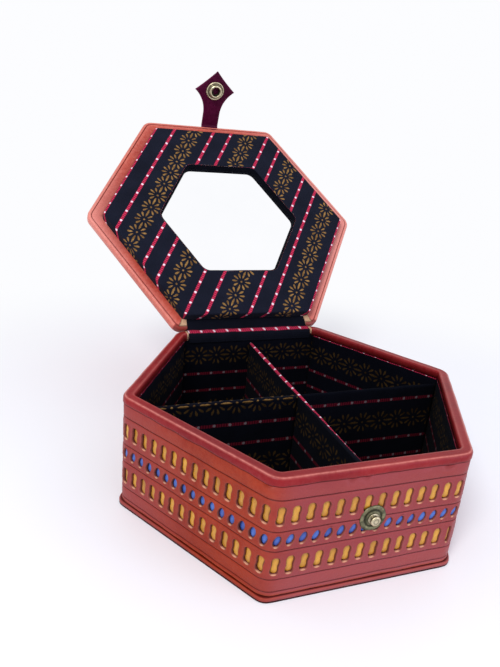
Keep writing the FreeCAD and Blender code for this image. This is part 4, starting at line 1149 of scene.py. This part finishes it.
def build_floor():
    """Cloth-covered card on the base, a little full in the middle of each compartment."""
    floor = Builder()
    apothem = box_mm("floor_lining")[1][1] - 0.1
    count = 30
    columns = 120
    middle = floor.point((0, 0, FLOOR_TOP - 0.15), (4, 0, 0))
    rings = []
    for k in range(1, count + 1):
        size = apothem * k / count
        ids = []
        for _, x, y, _ in around(size, 0.05 * size, columns):
            top = FLOOR_TOP + wave(x, y, 20.0, 0.25) - 0.15
            if k == count:
                top -= 0.3
            ids.append(floor.point((x, y, top), (x + 4, y, 0)))
        rings.append(ids)
    floor.fan(middle, rings[0])
    under = []
    for x, y, _ in [floor.points[i] for i in rings[-1]]:
        under.append(floor.point((x, y, FLOOR_FOOT), (x + 5, y, 0)))
    floor.strips(rings + [under], closed=True)
    floor.fan(floor.point((0, 0, FLOOR_FOOT)), under)
    piece = floor.make("cover_floor", [PRINT_SHADED])
    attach(piece, "case")
    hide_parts("floor_lining")
    size = 2 * apothem * MM


build_linings()
build_dividers()
build_floor()


# ---------------------------------------------------------------- hinges

def band(name, path, half_width, thick, materials, print_from=None, columns=60, edge_slot=0, bow=0.0):
    """A strip of leather or cloth swept along a path of (y, z), with a real thickness.

    print_from is the run and the x that the block print starts from, or None for leather.
    """
    strip = Builder()
    normals = []
    for i in range(len(path)):
        a = path[max(0, i - 1)]
        b = path[min(len(path) - 1, i + 1)]
        dy, dz = b[0] - a[0], b[1] - a[1]
        size = math.hypot(dy, dz)
        normals.append((-dz / size, dy / size))
    layers = []
    for offset in (0.5, -0.5):
        table = []
        for (y, z), (ny, nz), s in zip(path, normals, lengths(path)):
            ids = []
            for i in range(columns + 1):
                x = -half_width + 2 * half_width * i / columns
                off = offset * thick + (wave(x, s + 5, 7.0, bow) + wave(x, s, 2.2, 0.05))
                weave = (0, 0, 0) if print_from is None else ((s - print_from[0]) * 0.45, x - print_from[1], 0)
                ids.append(strip.point((x, y + ny * off, z + nz * off), weave))
            table.append(ids)
        layers.append(table)
    front, back = layers
    strip.strips(front)
    strip.strips(back[::-1])
    strip.strip(back[0], front[0], edge_slot)
    strip.strip(front[-1], back[-1], edge_slot)
    for column in (0, -1):
        for i in range(len(path) - 1):
            quad = (front[i][column], back[i][column], back[i + 1][column], front[i + 1][column])
            strip.face(quad if column else quad[::-1], edge_slot)
    return strip.make(name, materials)


def smooth_path(points, steps=6):
    """Catmull-Rom curve through (y, z) points."""
    whole = [points[0]] + list(points) + [points[-1]]
    curve = []
    for a, b, c, d in zip(whole, whole[1:], whole[2:], whole[3:]):
        for i in range(steps):
            t = i / steps
            curve.append(tuple(0.5 * (2 * q + (r - p) * t + (2 * p - 5 * q + 4 * r - s) * t * t
                                      + (3 * q - p - 3 * r + s) * t ** 3) for p, q, r, s in zip(a, b, c, d)))
    curve.append(points[-1])
    return curve


def on_lid(along, depth):
    place = lid_point(0, along, depth)
    return place[1], place[2]


def build_hinges():
    foot = box_mm("hinge_cloth")[0][2]
    path = smooth_path([(LINING_IN - 0.45, foot), (LINING_IN - 0.45, BOARD_TOP - 2.2),
                        (LINING_IN + 0.35, BOARD_TOP + 0.15), (LINING_IN + 2.2, RIM_TOP - 0.35),
                        (LINING_IN + 4.4, RIM_TOP - 0.15), on_lid(0.6, 0.9), on_lid(2.6, 0.75),
                        on_lid(6.0, 0.6), on_lid(10.5, 0.55)])
    marks = lengths(path)
    rim = min(range(len(path)), key=lambda i: abs(path[i][0] - (LINING_IN + 3.6)))
    piece = band("hinge_cover", path, HINGE_HALF - 0.3, 0.4, [PRINT_HALF_SHADED], (marks[rim], 1.2), 88, bow=0.35)
    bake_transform(piece)
    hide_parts("hinge_cloth")

    # The leather strip folds up into the wedge between wall and lid.
    low = box_mm("hinge_leather")[0]
    skin = low[1] + 0.4
    fold_top = HINGE[2] - 1.45
    on_top = LID_THICK + 0.35
    path = smooth_path([(skin, low[2]), (skin, low[2] + 5), (skin + 0.12, low[2] + 9),
                        (skin + 0.12, fold_top - 1.7), (skin + 0.22, fold_top - 0.55),
                        (skin + 0.62, fold_top), on_lid(-0.51, 2.23), on_lid(-0.55, 4.3),
                        on_lid(-0.35, 6.3), on_lid(0.55, LID_THICK + 0.30),
                        on_lid(2.2, on_top), on_lid(5.0, on_top), on_lid(13.0, on_top)])
    piece = band("hinge_strip", path, HINGE_HALF, 0.7, [RED, RAW], None, 80, 1, bow=0.03)
    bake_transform(piece)
    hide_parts("hinge_leather")


build_hinges()


# ---------------------------------------------------------------- strap and snap

STRAP_UP = (0.0, -math.sin(math.radians(20.0)), math.cos(math.radians(20.0)))
STRAP_FRONT = (0.0, -STRAP_UP[2], STRAP_UP[1])
strap_span = reach("strap", STRAP_UP, FOLD)
socket_span = reach("snap_socket", STRAP_UP, FOLD)
STRAP_TIP = strap_span[1]
SOCKET_AT = (socket_span[0] + socket_span[1]) / 2
STRAP_WIDE = box_mm("strap")[1][0]
NECK_HALF = box_mm("strap_anchor")[1][0]
NECK = 10.5
STRAP_THICK = 1.2


def strap_half(s):
    """Half-width of the strap at a distance from its fold: neck, hollow flare and point."""
    if s <= NECK:
        return NECK_HALF
    rise = STRAP_WIDE - NECK_HALF
    run = SOCKET_AT - NECK
    if s <= SOCKET_AT:
        radius = (rise * rise + run * run) / (2 * rise)
        return NECK_HALF + radius - math.sqrt(max(0.0, radius * radius - (s - NECK) ** 2))
    t = (s - SOCKET_AT) / (STRAP_TIP - SOCKET_AT)
    return STRAP_WIDE * (1 - t) - 0.5 * math.sin(math.pi * t)


def build_strap():
    leather = Builder()
    tail, fold_along = reach("strap_anchor", ALONG, HINGE)
    fold_along += 0.6
    centre_depth = 0.6
    unfolded = 2.2           # distance from the fold at which the strap is straight again
    lid_front = (-OUT[1], -OUT[2])
    strap_front = (STRAP_FRONT[1], STRAP_FRONT[2])
    stations = []            # y, z, front normal, half-width
    for i in range(9):
        y, z = on_lid(tail + (fold_along - 1.6 - tail) * i / 8, centre_depth)
        stations.append((y, z, lid_front, NECK_HALF))
    begin = stations[-1]
    finish = (FOLD[1] + STRAP_UP[1] * unfolded, FOLD[2] + STRAP_UP[2] * unfolded)
    fold_steps = 7
    for i in range(1, fold_steps):
        t = i / fold_steps
        ease = t * t * (3 - 2 * t)
        y, z = ((1 - t) ** 2 * begin[k] + 2 * t * (1 - t) * FOLD[k + 1] + t * t * finish[k] for k in (0, 1))
        ny, nz = (lid_front[k] * (1 - ease) + strap_front[k] * ease for k in (0, 1))
        size = math.hypot(ny, nz)
        stations.append((y, z, (ny / size, nz / size), NECK_HALF))
    marks = [unfolded + (NECK - unfolded) * i / 5 for i in range(6)]
    marks += [NECK + (SOCKET_AT - NECK) * i / 20 for i in range(1, 21)]
    marks += [SOCKET_AT + (STRAP_TIP - 0.25 - SOCKET_AT) * i / 18 for i in range(1, 19)]
    for s in marks:
        stations.append((FOLD[1] + STRAP_UP[1] * s, FOLD[2] + STRAP_UP[2] * s, strap_front,
                         max(0.35, strap_half(s))))
    # Around the section: share of the half-width, and of the thickness.
    shares = [-1 + 2 * i / 14 for i in range(15)]
    loop = [(t, 0.5) for t in shares] + [(1.012, 0.2), (1.012, -0.2)]
    loop += [(1 - 2 * i / 14, -0.5) for i in range(15)] + [(-1.012, -0.2), (-1.012, 0.2)]
    table = []
    for y, z, (ny, nz), half in stations:
        ids = []
        for t, level in loop:
            x = half * t
            edge = abs(t) ** 6 * 0.18
            height = (abs(level) - edge) * math.copysign(1, level) * STRAP_THICK
            height += wave(x, z, 8.0, 0.10) * (1 if abs(level) == 0.5 else 0)
            if abs(abs(x) - (half - 1.5)) < 0.35 and level == 0.5:
                height -= 0.10          # tooled line along the edges
            # The strap's sides and the outer edges of its faces are painted lighter, partly as rubbed wear and
            # partly as painted sheen.
            shade = 0.75 if abs(level) == 0.2 else (0.45 if abs(t) > 0.9 else 0.0)
            ids.append(leather.point((x, y + ny * height, z + nz * height), shade=shade))
        table.append(ids)
    leather.strips(table[::-1], closed=True)
    leather.face(table[0])
    leather.face(table[-1][::-1])
    piece = leather.make("strap_leather", [WINE])
    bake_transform(piece)
    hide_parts("strap", "strap_anchor")


def lathe(name, profile, centre, axis, material, body, nodes=(), spokes=0, wobble=0.0):
    """Turned metal part: profile is (radius, height along the axis, shade)."""
    part = Builder()
    up = Vector(axis).normalized()
    side = Vector((1, 0, 0))
    third = up.cross(side)
    count = 72
    rows = []
    for radius, height, shade in profile:
        if radius < 1e-6:
            rows.append([part.point(Vector(centre) + up * height, shade=shade)] * count)
            continue
        ids = []
        for i in range(count):
            angle = 2 * math.pi * i / count
            x, y = radius * math.cos(angle), radius * math.sin(angle)
            rough = noise.noise(Vector((x / 2, y / 2, height))) * 0.08
            r = radius * (1 + wobble * math.sin(spokes * angle)) + rough * 0.5
            ids.append(part.point(Vector(centre) + side * (r * math.cos(angle)) + third * (r * math.sin(angle))
                                  + up * (height + rough), shade=shade))
        rows.append(ids)
    for first, second in zip(rows, rows[1:]):
        for i in range(count):
            j = (i + 1) % count
            ring = list(dict.fromkeys([first[i], first[j], second[j], second[i]]))
            if len(ring) > 2:
                part.face(ring)
    piece = part.make(name, [material])
    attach(piece, body)
    if nodes:
        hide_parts(*nodes)


def build_snap():
    face = -APOTHEM
    radius = box_mm("snap_washer")[1][0]
    centre = (0, face, SNAP_HEIGHT)
    out = (0, -1, 0)
    lathe("washer_disc", [(1.8, -0.05, -0.5), (1.8, 0.75, -0.3), (3.4, 0.72, -0.1), (3.9, 0.35, -0.8),
                          (4.5, 0.30, -0.9), (5.0, 0.62, 0.0), (5.7, 0.80, 0.0), (6.3, 0.62, 0.0),
                          (radius, 0.25, -0.3), (radius, -0.05, -0.6), (1.8, -0.05, -0.6)],
          centre, out, BRASS, "case", ["snap_washer"], spokes=12, wobble=0.006)
    base = -box_mm("snap_washer")[0][1] + face
    stud = -box_mm("snap_stud")[0][1] + face
    lathe("stud_head", [(0, base - 0.1, -0.4), (2.75, base - 0.05, -0.7), (2.75, base + 0.30, -0.2),
                        (2.3, base + 0.42, -0.4), (1.85, base + 0.6, -0.9), (1.75, base + 1.1, -0.9),
                        (2.2, base + 1.5, -0.2), (2.5, base + 1.85, 0.0), (2.42, base + 2.25, 0.0),
                        (2.0, base + 2.55, 0.0), (1.5, base + 2.62, -0.3), (1.2, base + 2.45, -0.7),
                        (0.9, base + 2.5, -0.3), (0.5, stud - 0.05, 0.0), (0, stud - 0.02, 0.0)],
          centre, out, PALE_BRASS, "case", ["snap_stud"])
    skin = STRAP_THICK / 2
    depth = reach("snap_socket", STRAP_FRONT, FOLD)[1]
    at = [FOLD[i] + STRAP_UP[i] * SOCKET_AT for i in range(3)]
    lathe("socket_ring", [(3.2, skin - 0.6, -1.0), (3.2, depth - 0.55, -0.9), (3.25, depth - 0.25, -0.2),
                          (3.6, depth, 0.0), (4.3, depth, 0.0), (4.75, depth - 0.25, -0.1),
                          (4.95, depth - 1.1, -0.7), (5.15, skin + 0.75, -0.95), (5.7, skin + 0.7, -0.6),
                          (6.1, skin + 0.95, 0.0), (6.6, skin + 0.95, 0.0), (6.95, skin + 0.5, -0.1),
                          (6.95, skin - 0.02, -0.5), (3.2, skin - 0.02, -1.0), (3.2, skin - 0.6, -1.0)],
          at, STRAP_FRONT, PALE_BRASS, "strap", ["snap_socket"])
    # The socket's well is painted nearly black all through, as painted shade.
    lathe("socket_well", [(0, skin - 0.4, -1.0), (3.2, skin - 0.4, -1.0), (3.2, depth - 0.7, -1.0),
                          (3.1, skin + 0.1, -1.0), (2.2, skin, -1.0), (0, skin + 0.02, -1.0)],
          at, STRAP_FRONT, BRASS, "strap")
    back = [-c for c in STRAP_FRONT]
    cap = reach("snap_cap", back, FOLD)[1]
    lathe("cap_dome", [(0, cap, 0.0), (2.0, cap - 0.06, 0.0), (4.2, cap - 0.32, 0.0), (5.8, cap - 0.75, 0.0),
                       (6.7, cap - 1.15, 0.0), (7.0, skin + 0.25, -0.2), (6.9, skin - 0.02, -0.8),
                       (0, skin - 0.02, -0.8)],
          at, back, PALE_BRASS, "strap", ["snap_cap"])


build_strap()
build_snap()


# ---------------------------------------------------------------- carried-over nodes

def finish_node(node, material):
    part = frame["nodes"][node]
    part.data.materials.clear()
    part.data.materials.append(material)
    for polygon in part.data.polygons:
        polygon.material_index = 0


FELT = raw_edge_material("grey_felt", (0.36, 0.34, 0.32), (0.22, 0.21, 0.20))
FINISHES = {"base_board": BOARD, "lid_board": BOARD, "panel_felt": FELT, "base_cover": DARK, "snap_rivet": BRASS,
            "lace_upper_yellow": YELLOW, "lace_lower_yellow": YELLOW, "lace_middle_blue": BLUE}
for side in WALLS.values():
    finish_node("wall_board_" + side, BOARD)
for node, material in FINISHES.items():
    finish_node(node, material)


# ---------------------------------------------------------------- stage, light and camera

BACKGROUND = (0.975, 0.980, 1.0, 1.0)
WORLD_LIGHT = 0.72


def background_seen(g):
    """1 for rays from the camera or a reflection, which see the plain pale background."""
    ray = g.tree.nodes.new("ShaderNodeLightPath")
    return g.math("MAXIMUM", ray.outputs["Is Camera Ray"], ray.outputs["Is Glossy Ray"])


def build_stage():
    """Pale table that keeps the shadow and fades into the plain background further away."""
    far_out = 40.0
    floor = bpy.data.meshes.new("table")
    floor.from_pydata([(x * far_out, y * far_out, 0.0) for x, y in ((-1, -1), (1, -1), (1, 1), (-1, 1))],
                      [], [(0, 1, 2, 3)])
    g = Surface("pale_table")
    haze = g.noise(g.place, 3.0, 3.0)
    colour = g.mix(g.span(haze, 0.3, 0.7), (0.900, 0.905, 0.960), (0.935, 0.940, 0.980))
    floor.materials.append(g.finish(Base_Color=colour, Roughness=0.7, Specular_IOR_Level=0.2))
    glow = g.node("Emission", {"Color": BACKGROUND})
    length = g.node("VectorMath", {0: g.place}, "Value", operation="LENGTH")
    far = g.times(g.span(length, 0.15, 0.44, smooth=True), background_seen(g))
    blend = g.node("MixShader", {0: far, 1: g.shader.outputs[0], 2: glow})
    g.feed(g.output.inputs[0], blend)
    table = bpy.data.objects.new("table", floor)
    bpy.context.scene.collection.objects.link(table)


def area_light(name, place, aim, size, power, colour):
    data = bpy.data.lights.new(name, "AREA")
    data.shape = "DISK"
    data.size = size
    data.energy = power
    data.color = colour
    lamp = bpy.data.objects.new(name, data)
    lamp.location = place
    direction = Vector(aim) - Vector(place)
    lamp.rotation_euler = direction.to_track_quat("-Z", "Y").to_euler()
    bpy.context.scene.collection.objects.link(lamp)


def build_world():
    world = bpy.data.worlds.new("pale_room")
    bpy.context.scene.world = world
    world.use_nodes = True
    g = Graph(world.node_tree)
    g.tree.nodes.clear()
    room = g.node("Background", {"Color": (0.93, 0.95, 1.0, 1), "Strength": WORLD_LIGHT})
    seen = g.node("Background", {"Color": BACKGROUND, "Strength": 1.0})
    output = g.tree.nodes.new("ShaderNodeOutputWorld")
    g.feed(output.inputs[0], g.node("MixShader", {0: background_seen(g), 1: room, 2: seen}))


build_stage()
build_world()
area_light("key", (-0.75, -0.75, 1.15), (0.0, 0.02, 0.06), 0.55, 13.0, (1.0, 0.985, 0.96))
area_light("fill", (0.70, -0.85, 0.30), (0.0, -0.03, 0.04), 0.7, 4.0, (0.76, 0.78, 1.0))


def build_camera():
    """Camera at the photograph's angle: above the near left corner, tipped a little."""
    yaw = math.radians(21.7)
    pitch = math.radians(20.23)
    roll = math.radians(5.4)
    focal_share = 603.0 / 667.0          # focal length against the picture's height
    forward = Vector((math.sin(yaw) * math.cos(pitch), math.cos(yaw) * math.cos(pitch), -math.sin(pitch)))
    level = Vector((math.cos(yaw), -math.sin(yaw), 0.0))
    upright = level.cross(forward)
    right = level * math.cos(roll) + upright * math.sin(roll)
    up = upright * math.cos(roll) - level * math.sin(roll)
    data = bpy.data.cameras.new("photo_camera")
    data.sensor_width = 36.0
    data.lens = focal_share * data.sensor_width
    data.clip_start = 0.01
    camera = bpy.data.objects.new("photo_camera", data)
    bpy.context.scene.collection.objects.link(camera)
    turn = Matrix((right, up, -forward)).transposed().to_4x4()
    camera.matrix_world = Matrix.Translation((-0.1436, -0.2766, 0.2051)) @ turn
    bpy.context.scene.camera = camera


build_camera()
scene = bpy.context.scene
scene.view_settings.view_transform = "Standard"
